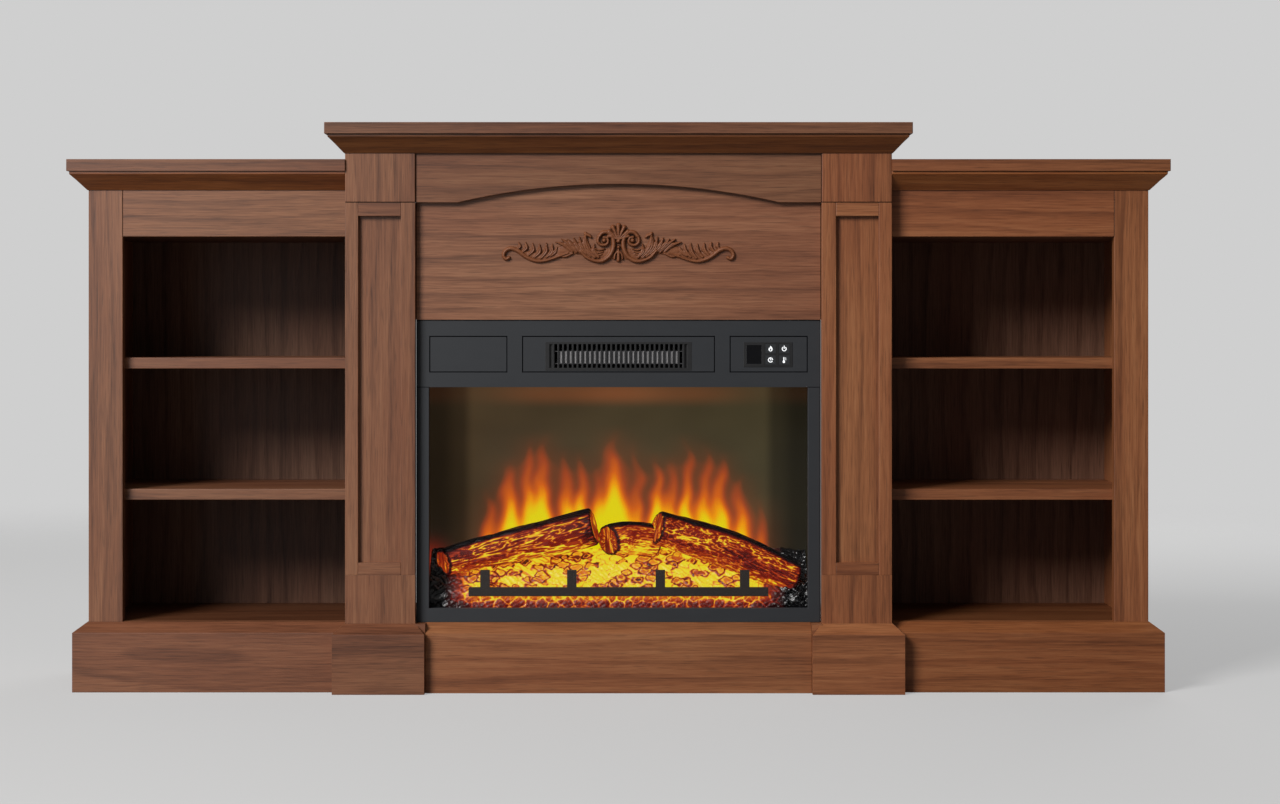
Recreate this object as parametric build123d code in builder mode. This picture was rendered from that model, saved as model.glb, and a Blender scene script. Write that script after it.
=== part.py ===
from build123d import *
from math import cos, pi, radians, sin
import os

os.makedirs("parts", exist_ok=True)

# ---- cabinet, overall -------------------------------------------------------
# X runs along the front, the front faces -Y, Z is up, the floor is Z = 0.
BOARD = 18.0  # thickness of the cabinet boards
REAR = 154.5  # back edge of the boards, where the back panels are fixed
BACK_T = 6.0  # thickness of the back panels
SLAB_REAR = 161.0  # back edge of the top slabs

# ---- plinth line ------------------------------------------------------------
PLINTH_H = 97.0  # height of the plinths' flat faces
FLOOR_Z = 113.0  # top of the plinth bevels, hearth and bookcase floors
BEVEL_TOE = 1.0  # flat left at the top of a bevel

# ---- centre section ---------------------------------------------------------
PIL_IN = 331.6  # inner edge of a pilaster
PIL_OUT = 446.0  # outer edge of a pilaster
PIL_FACE = -131.0
PIL_REAR = PIL_FACE + BOARD
PANEL_IN = 355.0  # sunk panel of a pilaster
PANEL_OUT = 424.5
PANEL_LOW = 212.0
PANEL_HIGH = 777.5
PANEL_SUNK = 9.0
FOOT_TOP = 191.7  # top of the pilaster's foot block
CAP_Z = 800.0  # seam under the pilaster's cap block
TOP_Z = 910.0  # underside of the mantel slab
MANTEL_T = 18.0
MANTEL_HALF = 476.5
MANTEL_FACE = -161.0
CROWN_Z = 880.0
CROWN_BREAK_Z = 905.0  # where the crown's slope turns upright
CROWN_OUT = 25.5  # how far the crown leans out
CROWN_TOE = 1.5
ARCH_FACE = -127.0
PANEL_FACE = -117.0  # face of the carved centre panel
PANEL_BOTTOM = 608.5
ARCH_HALF = 262.0  # half the span of the arch
ARCH_RISE = 30.0
PED_IN = 315.0  # pedestal
PED_OUT = 465.0
PED_FACE = -153.0
CENTRE_PLINTH_FACE = -136.5
SLOPE_REAR = -114.5  # back edge of the centre plinth's bevel

# ---- bookcase wings ---------------------------------------------------------
WING_FACE = -105.5  # faces of the stiles and rails
FRAME_REAR = WING_FACE + BOARD
WING_OUT = 870.0
STILE_IN = 814.0
RAIL_LOW = 745.0
SILL_LOW = 60.0  # bottom rail, behind the plinth
WING_SLAB_LOW = 851.0
WING_SLAB_T = 19.0
WING_SLAB_OUT = 900.0
WING_SLAB_FACE = -135.0
WING_CROWN_Z = 821.0
WING_CROWN_BREAK_Z = 846.0
WING_CROWN_OUT = 26.0
WING_PLINTH_OUT = 892.0
WING_PLINTH_FACE = -127.5
LOWER_SHELF_Z = 311.5
UPPER_SHELF_Z = 528.0
SLAB_EASE = 1.5  # rounding of the slabs' edges
BACK_LAP = 9.0  # lap of a back panel over the partition
BACK_LOW = 95.0

# ---- insert, outside --------------------------------------------------------
TRIM_HALF = 330.0
TRIM_FACE = -114.5
TRIM_REAR = -100.5
TRIM_TOP = 607.0
SEAM_Z = 498.0  # seam between the fascia and the lower trim
WINDOW_HALF = 310.4
WINDOW_LOW = 135.6
FASCIA_SKIN = 3.5
FASCIA_WALL = 3.0
INSET_SUNK = 1.2
INSET_LOW = 522.0
INSET_HIGH = 582.0
INSET_MID_HALF = 158.0
INSET_SIDE_IN = 182.0
INSET_SIDE_OUT = 310.0
GLASS_T = 4.0
GLASS_HALF = 320.0
DECK_Z = 506.0  # sheet between the flame chamber and the heater

# ---- vent grille ------------------------------------------------------------
VENT_HALF = 120.0
VENT_LOW = 525.0
VENT_HIGH = 572.0
VENT_SLOTS = 29
VENT_PITCH = 7.9
VENT_SLOT_W = 4.9
VENT_SLOT_LOW = 529.5
VENT_SLOT_HIGH = 568.5
VENT_FACE = -113.6
VENT_T = 3.0
FIT = 0.3  # gap all round a loose-fitting piece

# ---- controls ---------------------------------------------------------------
CTRL_X0 = 205.0
CTRL_X1 = 285.0
CTRL_Z0 = 531.0
CTRL_Z1 = 571.5
CTRL_FACE = -114.1
CTRL_T = 3.0
DISPLAY_X0 = 209.0
DISPLAY_X1 = 234.5
DISPLAY_Z0 = 536.0
DISPLAY_Z1 = 567.0
KEY_W = 18.0  # hole for a button
KEY_H = 16.0
KEY_X = (249.0, 271.4)
KEY_Z = (561.0, 542.5)
KEY_FACE = -114.6
KEY_LIP = 1.0  # the flange's overlap behind the panel
KEY_LIP_T = 1.5
KEY_STEM_R = 2.0
KEY_STEM_END = -97.5
PCB_T = 1.6
PCB_FACE = -93.0
PCB_MARGIN = 9.0
POST_R = 2.5
POST_INSET = 3.0
SWITCH_W = 6.0
SWITCH_T = 3.2

# ---- firebox ----------------------------------------------------------------
CASE_HALF = 322.0
CASE_REAR = 64.0
CASE_TOP = 604.0
SHEET = 1.5
SEAM_GAP = 0.1  # hairline between two sheets of the casing
SCREEN_Y = 6.0
SCREEN_T = 3.0
EAR_OUT = 20.0
EAR_W = 30.0
EAR_Y = (-45.0, 35.0)
EAR_UP = 28.0
EAR_X = 205.0
EAR_HOLE_Z = 620.0
SCREW_R = 2.0
SCREW_HEAD_R = 4.0
SCREW_HEAD_T = 2.5
SCREW_REACH = 13.0
INTAKE_SLOTS = 18
INTAKE_PITCH = 14.0
INTAKE_W = 5.0
INTAKE_LOW = 530.0
INTAKE_HIGH = 585.0
GLAND_X = 270.0
GLAND_Z = 150.0
GLAND_R = 9.0
GLAND_NUT_R = 13.0
GLAND_BORE_R = 4.0
GLAND_NUT_T = 4.0
GLAND_REACH = 16.0  # how far the gland stands out behind the casing

# ---- flame spindle ----------------------------------------------------------
SPIN_Y = 36.0
SPIN_Z = 146.0
SHAFT_R = 3.0
RUNNING = 0.05  # radial clearance of a turning shaft
FLAG_R = 17.0
FLAG_W = 28.0
FLAG_T = 0.6
FLAGS = 12
FLAG_PITCH = 46.0
FLAG_TURN = 40.0
FLAG_SHIFT = 6.0  # the row of flags sits this far left of the centre
SHAFT_PLAY = 2.0  # room past the end of a shaft in its motor
SPIN_LEFT = -308.0
SPIN_RIGHT = 300.0
TAB_X = -302.0
TAB_T = 2.0
TAB_HALF_W = 12.0
SPIN_MOTOR_X = 288.0
SPIN_MOTOR_HALF = 16.0

# ---- heater and blower ------------------------------------------------------
BLOW_Y = -26.0
BLOW_Z = 556.0
WHEEL_R = 22.0
WHEEL_HALF = 108.0
BLADES = 24
BLADE_DEPTH = 5.0
BLADE_T = 1.0
BLADE_LEAN = 35.0
BLADE_INSET = 0.5  # from the rim of the discs
DISC_T = 2.0
HOUSE_HALF = 113.0
HOUSE_WALL = 2.0
HOUSE_FRONT = -88.0
HOUSE_REAR = 4.0
CAVITY_R = 24.5
OUTLET_LOW = 536.0
OUTLET_HIGH = 557.0
INLET_LOW = 545.0
INLET_HIGH = 572.0
MOTOR_R = 20.0
MOTOR_X = 116.0
MOTOR_LEN = 36.0
BLOW_SHAFT_END = 146.0
HEATER_HALF = 104.0
HEATER_FRONT = -86.0
HEATER_REAR = -72.0
HEATER_BAR = 2.0
FIN_PITCH = 4.0
FIN_T = 0.7
FIN_INSET = 1.0

# ---- fuel bed ---------------------------------------------------------------
BED_HALF = 316.0
BED_FRONT = -82.0
BED_WALL = 4.0
GRATE_HALF = 247.0
GRATE_LOW = 153.0
GRATE_HIGH = 167.5
GRATE_FRONT = -93.0
GRATE_T = 7.0
POST_X = (-220.0, -77.0, 69.0, 208.0)
GRATE_POST_W = 15.5
GRATE_POST_TOP = 196.0
GRATE_TAB_TOP = 156.0  # tabs behind the posts rest against the fuel bed
LED_COUNT = 24
LED_PITCH = 23.0
LED_W = 3.0
LED_T = 1.4
LED_ROW_Y = (-42.0, 20.0)
LED_STRIP_HALF_W = 7.0


def box(x0, x1, y0, y1, z0, z1, mode=Mode.ADD):
    """Adds or cuts an upright block between the given limits."""
    with BuildSketch(Plane.XY.offset(z0)) as outline:
        with Locations(((x0 + x1) / 2, (y0 + y1) / 2)):
            Rectangle(abs(x1 - x0), abs(y1 - y0))
    extrude(outline.sketch, amount=z1 - z0, mode=mode)


def frustum(low, high, z0, z1):
    """Adds a block whose plan changes from low to high, each (x0, x1, y0, y1)."""
    sections = []
    for (x0, x1, y0, y1), z in ((low, z0), (high, z1)):
        with BuildSketch(Plane.XY.offset(z)) as outline:
            with Locations(((x0 + x1) / 2, (y0 + y1) / 2)):
                Rectangle(abs(x1 - x0), abs(y1 - y0))
        sections.append(outline.sketch)
    loft(sections)


def rod_x(r, x0, x1, y, z, mode=Mode.ADD):
    """Adds or cuts a round bar along X."""
    with BuildSketch(Plane(origin=(x0, y, z), x_dir=(0, 1, 0), z_dir=(1, 0, 0))) as disc:
        Circle(r)
    extrude(disc.sketch, amount=x1 - x0, mode=mode)


def rod_y(r, y0, y1, x, z, mode=Mode.ADD):
    """Adds or cuts a round bar along Y."""
    with BuildSketch(Plane(origin=(x, y0, z), x_dir=(1, 0, 0), z_dir=(0, 1, 0))) as disc:
        Circle(r)
    extrude(disc.sketch, amount=y1 - y0, mode=mode)


def rod_z(r, z0, z1, x, y, mode=Mode.ADD):
    """Adds or cuts a round bar along Z."""
    with BuildSketch(Plane.XY.offset(z0)) as disc:
        with Locations((x, y)):
            Circle(r)
    extrude(disc.sketch, amount=z1 - z0, mode=mode)


def save(part, name):
    """Names a finished sub-part and writes its STEP file."""
    part.label = name
    export_step(part, f"parts/{name}.step")


def span(side, near, far):
    """X limits of a piece on one side, from its distances off the centre."""
    return sorted((side * near, side * far))


# ---- mantel top -------------------------------------------------------------
with BuildPart() as mantel_top_slab:
    box(-MANTEL_HALF, MANTEL_HALF, MANTEL_FACE, SLAB_REAR, TOP_Z, TOP_Z + MANTEL_T)
    fillet(mantel_top_slab.edges().filter_by(Axis.Z), radius=SLAB_EASE)
save(mantel_top_slab.part, "mantel_top_slab")

# The crown leans out from the pilaster faces and returns along both sides.
with BuildPart() as mantel_crown:
    frustum(
        (-PIL_OUT - CROWN_TOE, PIL_OUT + CROWN_TOE, PIL_FACE - CROWN_TOE, REAR),
        (-PIL_OUT - CROWN_OUT, PIL_OUT + CROWN_OUT, PIL_FACE - CROWN_OUT, REAR),
        CROWN_Z,
        CROWN_BREAK_Z,
    )
    box(-PIL_OUT - CROWN_OUT, PIL_OUT + CROWN_OUT, PIL_FACE - CROWN_OUT, REAR, CROWN_BREAK_Z, TOP_Z)
    box(-PIL_OUT, PIL_OUT, PIL_FACE, REAR, CROWN_Z, TOP_Z, Mode.SUBTRACT)
    box(-PIL_IN, PIL_IN, PIL_FACE, ARCH_FACE, CROWN_Z, TOP_Z)
save(mantel_crown.part, "mantel_crown")

# ---- arch board, centre panel and carving -----------------------------------
with BuildPart() as arch_board:
    with BuildSketch(Plane.XZ.offset(-ARCH_FACE)) as arch_outline:
        with BuildLine():
            Polyline(
                (ARCH_HALF, CAP_Z),
                (PIL_IN, CAP_Z),
                (PIL_IN, TOP_Z),
                (-PIL_IN, TOP_Z),
                (-PIL_IN, CAP_Z),
                (-ARCH_HALF, CAP_Z),
            )
            ThreePointArc((-ARCH_HALF, CAP_Z), (0, CAP_Z + ARCH_RISE), (ARCH_HALF, CAP_Z))
        make_face()
    extrude(amount=ARCH_FACE - PANEL_FACE)
save(arch_board.part, "arch_board")

with BuildPart() as centre_panel:
    box(-PIL_IN, PIL_IN, PANEL_FACE, PANEL_FACE + BOARD, PANEL_BOTTOM, TOP_Z)
    for side in (-1, 1):
        rear = PANEL_FACE + BOARD
        rod_y(SCREW_R, rear - SCREW_REACH, rear, side * EAR_X, EAR_HOLE_Z, Mode.SUBTRACT)
save(centre_panel.part, "centre_panel")

# Carved ornament: a shell between two volutes, C-scrolls below them, a leaf and
# a long S-scroll with leaflets running out to each side.
CARVE_Z = 738.0  # height of the volute centres
CARVE_T = 5.0  # thickness of the carving's flat parts
CARVE_DOME = 3.0  # extra rise of the scrolls' stems
STEM_W = 5.0
SHELL_RAYS = 7
SHELL_REACH = 22.0
SHELL_SPREAD = 24.0
PETAL_SWELL = 1.5
PETAL_HALF_W = 3.4
BUTTON_R = 5.5
DROP_LOW = 16.0  # the drop under the shell: depth of its middle, then its half width
DROP_HALF_W = 4.5
VOLUTE_X = 22.5
VOLUTE_R = 12.0
EYE_R = 4.0
SCROLL = ((8, 25), (10, -4), (22, -24), (40, -31), (56, -18), (64, 4), (56, 14))
TENDRIL = (
    (62, -22),
    (92, -14),
    (118, -30),
    (146, -22),
    (172, -6),
    (187, -14),
    (186, -26),
    (179, -22),
)
LEAFLETS = ((84, 2, 30), (98, -2, 40), (112, -4, 50), (126, -4, 60), (140, -2, 70), (154, 2, 75))
LEAFLET_DROP = 10.0  # how far the leaflets sit below the heights above
LEAFLET_LEAN = 55.0
# Leafy masses behind the scrolls, as (x, z, half width, half height, lean).
MASSES = ((57, -6, 17, 9, 105), (34, -20, 16, 9, 0), (118, -18, 46, 10, 0))
LEAFLET_L = 22.0
LEAFLET_W = 9.0


def carved_strip(points, width, mirrored_x):
    """Adds a raised strip that follows a curve on the panel's face."""
    path = [(mirrored_x * x, CARVE_Z + z) for x, z in points]
    with BuildSketch(Plane.XZ.offset(-PANEL_FACE)) as strip:
        with BuildLine() as line:
            Spline(*path)
        trace(lines=line.line, line_width=width)
    extrude(strip.sketch, amount=CARVE_T + CARVE_DOME)


with BuildPart() as carved_applique:
    with BuildSketch(Plane.XZ.offset(-PANEL_FACE)) as shell:
        for ray in range(SHELL_RAYS):
            lean = radians(90 + SHELL_SPREAD * (ray - (SHELL_RAYS - 1) / 2))
            with Locations(
                Location(
                    (SHELL_REACH / 2 * cos(lean), CARVE_Z + 1 + SHELL_REACH / 2 * sin(lean), 0),
                    (0, 0, lean * 180 / pi),
                )
            ):
                Ellipse(SHELL_REACH / 2 + PETAL_SWELL, PETAL_HALF_W)
        with Locations((0, CARVE_Z)):
            Circle(BUTTON_R)
        with Locations((0, CARVE_Z - DROP_LOW)):
            Ellipse(DROP_HALF_W, DROP_LOW)
    extrude(shell.sketch, amount=CARVE_T)
    for hand in (-1, 1):
        with BuildSketch(Plane.XZ.offset(-PANEL_FACE)) as volute:
            with Locations((hand * VOLUTE_X, CARVE_Z)):
                Circle(VOLUTE_R)
        extrude(volute.sketch, amount=CARVE_T)
        with BuildSketch(Plane.XZ.offset(-PANEL_FACE)) as eye:
            with Locations((hand * VOLUTE_X, CARVE_Z)):
                Circle(EYE_R)
        extrude(eye.sketch, amount=CARVE_T + CARVE_DOME)
        with BuildSketch(Plane.XZ.offset(-PANEL_FACE)) as foliage:
            for x, z, half_w, half_h, lean in MASSES:
                with Locations(Location((hand * x, CARVE_Z + z, 0), (0, 0, hand * lean))):
                    Ellipse(half_w, half_h)
            for x, z, lean in LEAFLETS:
                turn = 90 - hand * (lean - LEAFLET_LEAN)
                with Locations(Location((hand * x, CARVE_Z + z - LEAFLET_DROP, 0), (0, 0, turn))):
                    Ellipse(LEAFLET_L / 2, LEAFLET_W / 2)
        extrude(foliage.sketch, amount=CARVE_T)
        carved_strip(SCROLL, STEM_W, hand)
        carved_strip(TENDRIL, STEM_W, hand)
save(carved_applique.part, "carved_applique")

# ---- centre plinth and hearth -----------------------------------------------
with BuildPart() as centre_plinth:
    box(-PED_IN, PED_IN, CENTRE_PLINTH_FACE, PIL_REAR, 0, PLINTH_H)
    frustum(
        (-PED_IN, PED_IN, CENTRE_PLINTH_FACE, PIL_REAR),
        (-PED_IN, PED_IN, SLOPE_REAR, PIL_REAR),
        PLINTH_H,
        FLOOR_Z,
    )
save(centre_plinth.part, "centre_plinth")

with BuildPart() as hearth_board:
    box(BOARD - PIL_OUT, PIL_OUT - BOARD, PIL_REAR, REAR, FLOOR_Z - BOARD, FLOOR_Z)
    for side in (-1, 1):
        for ear_y in EAR_Y:
            rod_z(
                SCREW_R,
                FLOOR_Z - SCREW_REACH,
                FLOOR_Z,
                side * (CASE_HALF + EAR_OUT / 2),
                ear_y,
                Mode.SUBTRACT,
            )
save(hearth_board.part, "hearth_board")

# ---- pieces that come in a left and a right ---------------------------------
for hand, side in (("left", -1), ("right", 1)):
    with BuildPart() as partition:
        x0, x1 = span(side, PIL_OUT - BOARD, PIL_OUT)
        box(x0, x1, PIL_REAR, REAR, 0, TOP_Z)
    save(partition.part, f"{hand}_partition")

    # Pilaster: two stiles, two short rails, a sunk panel, a foot and a cap block.
    with BuildPart() as pilaster:
        x0, x1 = span(side, PIL_IN, PIL_OUT)
        box(x0, x1, PIL_FACE, PIL_REAR, 0, TOP_Z)
        x0, x1 = span(side, PANEL_IN, PANEL_OUT)
        box(x0, x1, PIL_FACE, PIL_FACE + PANEL_SUNK, PANEL_LOW, PANEL_HIGH, Mode.SUBTRACT)
    save(pilaster.part, f"{hand}_pilaster")

    with BuildPart() as pedestal:
        x0, x1 = span(side, PED_IN, PED_OUT)
        box(x0, x1, PED_FACE, WING_FACE, 0, PLINTH_H)
        h0, h1 = span(side, PIL_IN - BEVEL_TOE, PIL_OUT + BEVEL_TOE)
        frustum(
            (x0, x1, PED_FACE, WING_FACE),
            (h0, h1, PIL_FACE - BEVEL_TOE, WING_FACE),
            PLINTH_H,
            FLOOR_Z,
        )
        c0, c1 = span(side, PIL_IN, PIL_OUT)
        box(c0, c1, PIL_FACE, WING_FACE, 0, FLOOR_Z, Mode.SUBTRACT)
        c0, c1 = span(side, PED_IN, PIL_IN)
        box(c0, c1, PIL_REAR, WING_FACE, 0, FLOOR_Z, Mode.SUBTRACT)
    save(pedestal.part, f"{hand}_pedestal")

    with BuildPart() as wing_top:
        x0, x1 = span(side, PIL_OUT, WING_SLAB_OUT)
        box(x0, x1, WING_SLAB_FACE, SLAB_REAR, WING_SLAB_LOW, WING_SLAB_LOW + WING_SLAB_T)
        outer = wing_top.edges().filter_by(Axis.Z).sort_by(lambda e: side * e.center().X)[-2:]
        fillet(outer, radius=SLAB_EASE)
    save(wing_top.part, f"{hand}_wing_top")

    with BuildPart() as wing_crown:
        x0, x1 = span(side, PIL_OUT, WING_OUT + CROWN_TOE)
        h0, h1 = span(side, PIL_OUT, WING_OUT + WING_CROWN_OUT)
        frustum(
            (x0, x1, WING_FACE - CROWN_TOE, REAR),
            (h0, h1, WING_FACE - WING_CROWN_OUT, REAR),
            WING_CROWN_Z,
            WING_CROWN_BREAK_Z,
        )
        box(h0, h1, WING_FACE - WING_CROWN_OUT, REAR, WING_CROWN_BREAK_Z, WING_SLAB_LOW)
        c0, c1 = span(side, PIL_OUT, WING_OUT)
        box(c0, c1, WING_FACE, REAR, WING_CROWN_Z, WING_SLAB_LOW, Mode.SUBTRACT)
    save(wing_crown.part, f"{hand}_wing_crown")

    with BuildPart() as face_frame:
        x0, x1 = span(side, STILE_IN, WING_OUT)
        box(x0, x1, WING_FACE, FRAME_REAR, 0, WING_SLAB_LOW)
        x0, x1 = span(side, PIL_OUT, STILE_IN)
        box(x0, x1, WING_FACE, FRAME_REAR, RAIL_LOW, WING_SLAB_LOW)
        box(x0, x1, WING_FACE, FRAME_REAR, SILL_LOW, FLOOR_Z)
    save(face_frame.part, f"{hand}_face_frame")

    with BuildPart() as outer_side:
        x0, x1 = span(side, WING_OUT - BOARD, WING_OUT)
        box(x0, x1, FRAME_REAR, REAR, 0, WING_SLAB_LOW)
    save(outer_side.part, f"{hand}_outer_side")

    x0, x1 = span(side, PIL_OUT, WING_OUT - BOARD)
    for name, low in (
        ("wing_floor", FLOOR_Z - BOARD),
        ("lower_shelf", LOWER_SHELF_Z),
        ("upper_shelf", UPPER_SHELF_Z),
        ("wing_ceiling", RAIL_LOW),
    ):
        with BuildPart() as board:
            box(x0, x1, FRAME_REAR, REAR, low, low + BOARD)
        save(board.part, f"{hand}_{name}")

    with BuildPart() as wing_back:
        x0, x1 = span(side, PIL_OUT - BACK_LAP, WING_OUT)
        box(x0, x1, REAR, REAR + BACK_T, BACK_LOW, WING_SLAB_LOW)
    save(wing_back.part, f"{hand}_wing_back")

    with BuildPart() as wing_plinth:
        x0, x1 = span(side, PED_OUT, WING_PLINTH_OUT)
        box(x0, x1, WING_PLINTH_FACE, REAR, 0, PLINTH_H)
        h0, h1 = span(side, PED_OUT, WING_OUT + BEVEL_TOE)
        frustum(
            (x0, x1, WING_PLINTH_FACE, REAR),
            (h0, h1, WING_FACE - BEVEL_TOE, REAR),
            PLINTH_H,
            FLOOR_Z,
        )
        c0, c1 = span(side, PED_OUT, WING_OUT)
        box(c0, c1, WING_FACE, REAR, 0, FLOOR_Z, Mode.SUBTRACT)
    save(wing_plinth.part, f"{hand}_wing_plinth")

# ---- insert trim ------------------------------------------------------------
with BuildPart() as top_fascia:
    box(-TRIM_HALF, TRIM_HALF, TRIM_FACE, TRIM_REAR, SEAM_Z, TRIM_TOP)
    inner = TRIM_HALF - FASCIA_WALL
    skin_rear = TRIM_FACE + FASCIA_SKIN
    box(-inner, inner, skin_rear, TRIM_REAR, SEAM_Z + FASCIA_WALL, TRIM_TOP - FASCIA_WALL, Mode.SUBTRACT)
    for x0, x1 in (
        (-INSET_SIDE_OUT, -INSET_SIDE_IN),
        (-INSET_MID_HALF, INSET_MID_HALF),
        (INSET_SIDE_IN, INSET_SIDE_OUT),
    ):
        box(x0, x1, TRIM_FACE, TRIM_FACE + INSET_SUNK, INSET_LOW, INSET_HIGH, Mode.SUBTRACT)
    box(-VENT_HALF, VENT_HALF, TRIM_FACE, skin_rear, VENT_LOW, VENT_HIGH, Mode.SUBTRACT)
    box(CTRL_X0, CTRL_X1, TRIM_FACE, skin_rear, CTRL_Z0, CTRL_Z1, Mode.SUBTRACT)
    for x in (CTRL_X0 - PCB_MARGIN + POST_INSET, CTRL_X1 + PCB_MARGIN - POST_INSET):
        for z in (CTRL_Z0 - POST_INSET, CTRL_Z1 + POST_INSET):
            rod_y(POST_R, skin_rear, PCB_FACE, x, z)
save(top_fascia.part, "top_fascia")

with BuildPart() as lower_trim_frame:
    box(-TRIM_HALF, TRIM_HALF, TRIM_FACE, TRIM_REAR, FLOOR_Z, SEAM_Z)
    box(-WINDOW_HALF, WINDOW_HALF, TRIM_FACE, TRIM_REAR, WINDOW_LOW, SEAM_Z, Mode.SUBTRACT)
save(lower_trim_frame.part, "lower_trim_frame")

with BuildPart() as glass_front:
    box(-GLASS_HALF, GLASS_HALF, TRIM_REAR, TRIM_REAR + GLASS_T, FLOOR_Z + SHEET, DECK_Z)
save(glass_front.part, "glass_front")

with BuildPart() as vent_grille:
    box(-VENT_HALF, VENT_HALF, VENT_FACE, VENT_FACE + VENT_T, VENT_LOW, VENT_HIGH)
    for slot in range(VENT_SLOTS):
        x = (slot - (VENT_SLOTS - 1) / 2) * VENT_PITCH
        box(
            x - VENT_SLOT_W / 2,
            x + VENT_SLOT_W / 2,
            VENT_FACE,
            VENT_FACE + VENT_T,
            VENT_SLOT_LOW,
            VENT_SLOT_HIGH,
            Mode.SUBTRACT,
        )
save(vent_grille.part, "vent_grille")

# ---- controls ---------------------------------------------------------------
with BuildPart() as control_panel:
    box(CTRL_X0, CTRL_X1, CTRL_FACE, CTRL_FACE + CTRL_T, CTRL_Z0, CTRL_Z1)
    box(
        DISPLAY_X0,
        DISPLAY_X1,
        CTRL_FACE,
        CTRL_FACE + CTRL_T,
        DISPLAY_Z0,
        DISPLAY_Z1,
        Mode.SUBTRACT,
    )
    for x in KEY_X:
        for z in KEY_Z:
            box(
                x - KEY_W / 2,
                x + KEY_W / 2,
                CTRL_FACE,
                CTRL_FACE + CTRL_T,
                z - KEY_H / 2,
                z + KEY_H / 2,
                Mode.SUBTRACT,
            )
save(control_panel.part, "control_panel")

with BuildPart() as display_window:
    box(DISPLAY_X0, DISPLAY_X1, CTRL_FACE, CTRL_FACE + CTRL_T, DISPLAY_Z0, DISPLAY_Z1)
save(display_window.part, "display_window")

for name, x, z in (
    ("flame_button", KEY_X[0], KEY_Z[0]),
    ("power_button", KEY_X[1], KEY_Z[0]),
    ("timer_button", KEY_X[0], KEY_Z[1]),
    ("heat_button", KEY_X[1], KEY_Z[1]),
):
    with BuildPart() as button:
        half_w = KEY_W / 2 - FIT
        half_h = KEY_H / 2 - FIT
        lip_front = CTRL_FACE + CTRL_T + FIT
        lip_rear = lip_front + KEY_LIP_T
        box(x - half_w, x + half_w, KEY_FACE, lip_rear, z - half_h, z + half_h)
        box(
            x - half_w - KEY_LIP,
            x + half_w + KEY_LIP,
            lip_front,
            lip_rear,
            z - half_h - KEY_LIP,
            z + half_h + KEY_LIP,
        )
        rod_y(KEY_STEM_R, lip_rear, KEY_STEM_END, x, z)
    save(button.part, name)

with BuildPart() as control_board:
    box(
        CTRL_X0 - PCB_MARGIN,
        CTRL_X1 + PCB_MARGIN,
        PCB_FACE,
        PCB_FACE + PCB_T,
        CTRL_Z0 - PCB_MARGIN + POST_INSET,
        CTRL_Z1 + PCB_MARGIN - POST_INSET,
    )
    for x in KEY_X:
        for z in KEY_Z:
            half = SWITCH_W / 2
            box(x - half, x + half, PCB_FACE - SWITCH_T, PCB_FACE, z - half, z + half)
    box(DISPLAY_X0, DISPLAY_X1, CTRL_FACE + CTRL_T, PCB_FACE, DISPLAY_Z0, DISPLAY_Z1)
save(control_board.part, "control_board")

# ---- firebox casing ---------------------------------------------------------
# Six sheets, a bearing tab and two upper ears, spot-welded with hairline joints.
with BuildPart() as firebox_casing:
    inner = CASE_HALF - SHEET
    floor_top = FLOOR_Z + SHEET
    box(-CASE_HALF, CASE_HALF, TRIM_REAR, CASE_REAR, FLOOR_Z, floor_top)
    for side in (-1, 1):
        x0, x1 = span(side, inner, CASE_HALF)
        box(x0, x1, TRIM_REAR, CASE_REAR, floor_top + SEAM_GAP, CASE_TOP)
    edge = inner - SEAM_GAP
    box(-edge, edge, TRIM_REAR, CASE_REAR, CASE_TOP - SHEET, CASE_TOP)
    back_top = CASE_TOP - SHEET - SEAM_GAP
    box(-edge, edge, CASE_REAR - SHEET, CASE_REAR, floor_top + SEAM_GAP, back_top)
    box(-edge, edge, TRIM_REAR + GLASS_T, CASE_REAR - SHEET - SEAM_GAP, DECK_Z, DECK_Z + SHEET)
    for slot in range(INTAKE_SLOTS):
        x = (slot - (INTAKE_SLOTS - 1) / 2) * INTAKE_PITCH
        box(
            x - INTAKE_W / 2,
            x + INTAKE_W / 2,
            CASE_REAR - SHEET,
            CASE_REAR,
            INTAKE_LOW,
            INTAKE_HIGH,
            Mode.SUBTRACT,
        )
    rod_y(GLAND_R, CASE_REAR - SHEET, CASE_REAR, GLAND_X, GLAND_Z, Mode.SUBTRACT)
    tab_low = floor_top + SEAM_GAP
    box(TAB_X, TAB_X + TAB_T, SPIN_Y - TAB_HALF_W, SPIN_Y + TAB_HALF_W, tab_low, SPIN_Z + TAB_HALF_W)
    rod_x(SHAFT_R + RUNNING, TAB_X, TAB_X + TAB_T, SPIN_Y, SPIN_Z, Mode.SUBTRACT)
    for side in (-1, 1):
        x0, x1 = span(side, CASE_HALF, CASE_HALF + EAR_OUT)
        for ear_y in EAR_Y:
            box(x0, x1, ear_y - EAR_W / 2, ear_y + EAR_W / 2, FLOOR_Z, floor_top)
            rod_z(SCREW_R, FLOOR_Z, floor_top, (x0 + x1) / 2, ear_y, Mode.SUBTRACT)
        ear_x = side * EAR_X
        ear_front = PANEL_FACE + BOARD
        ear_low = CASE_TOP + SEAM_GAP
        box(ear_x - EAR_W / 2, ear_x + EAR_W / 2, ear_front, ear_front + SHEET, ear_low, CASE_TOP + EAR_UP)
        rod_y(SCREW_R, ear_front, ear_front + SHEET, ear_x, EAR_HOLE_Z, Mode.SUBTRACT)
save(firebox_casing.part, "firebox_casing")

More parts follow.
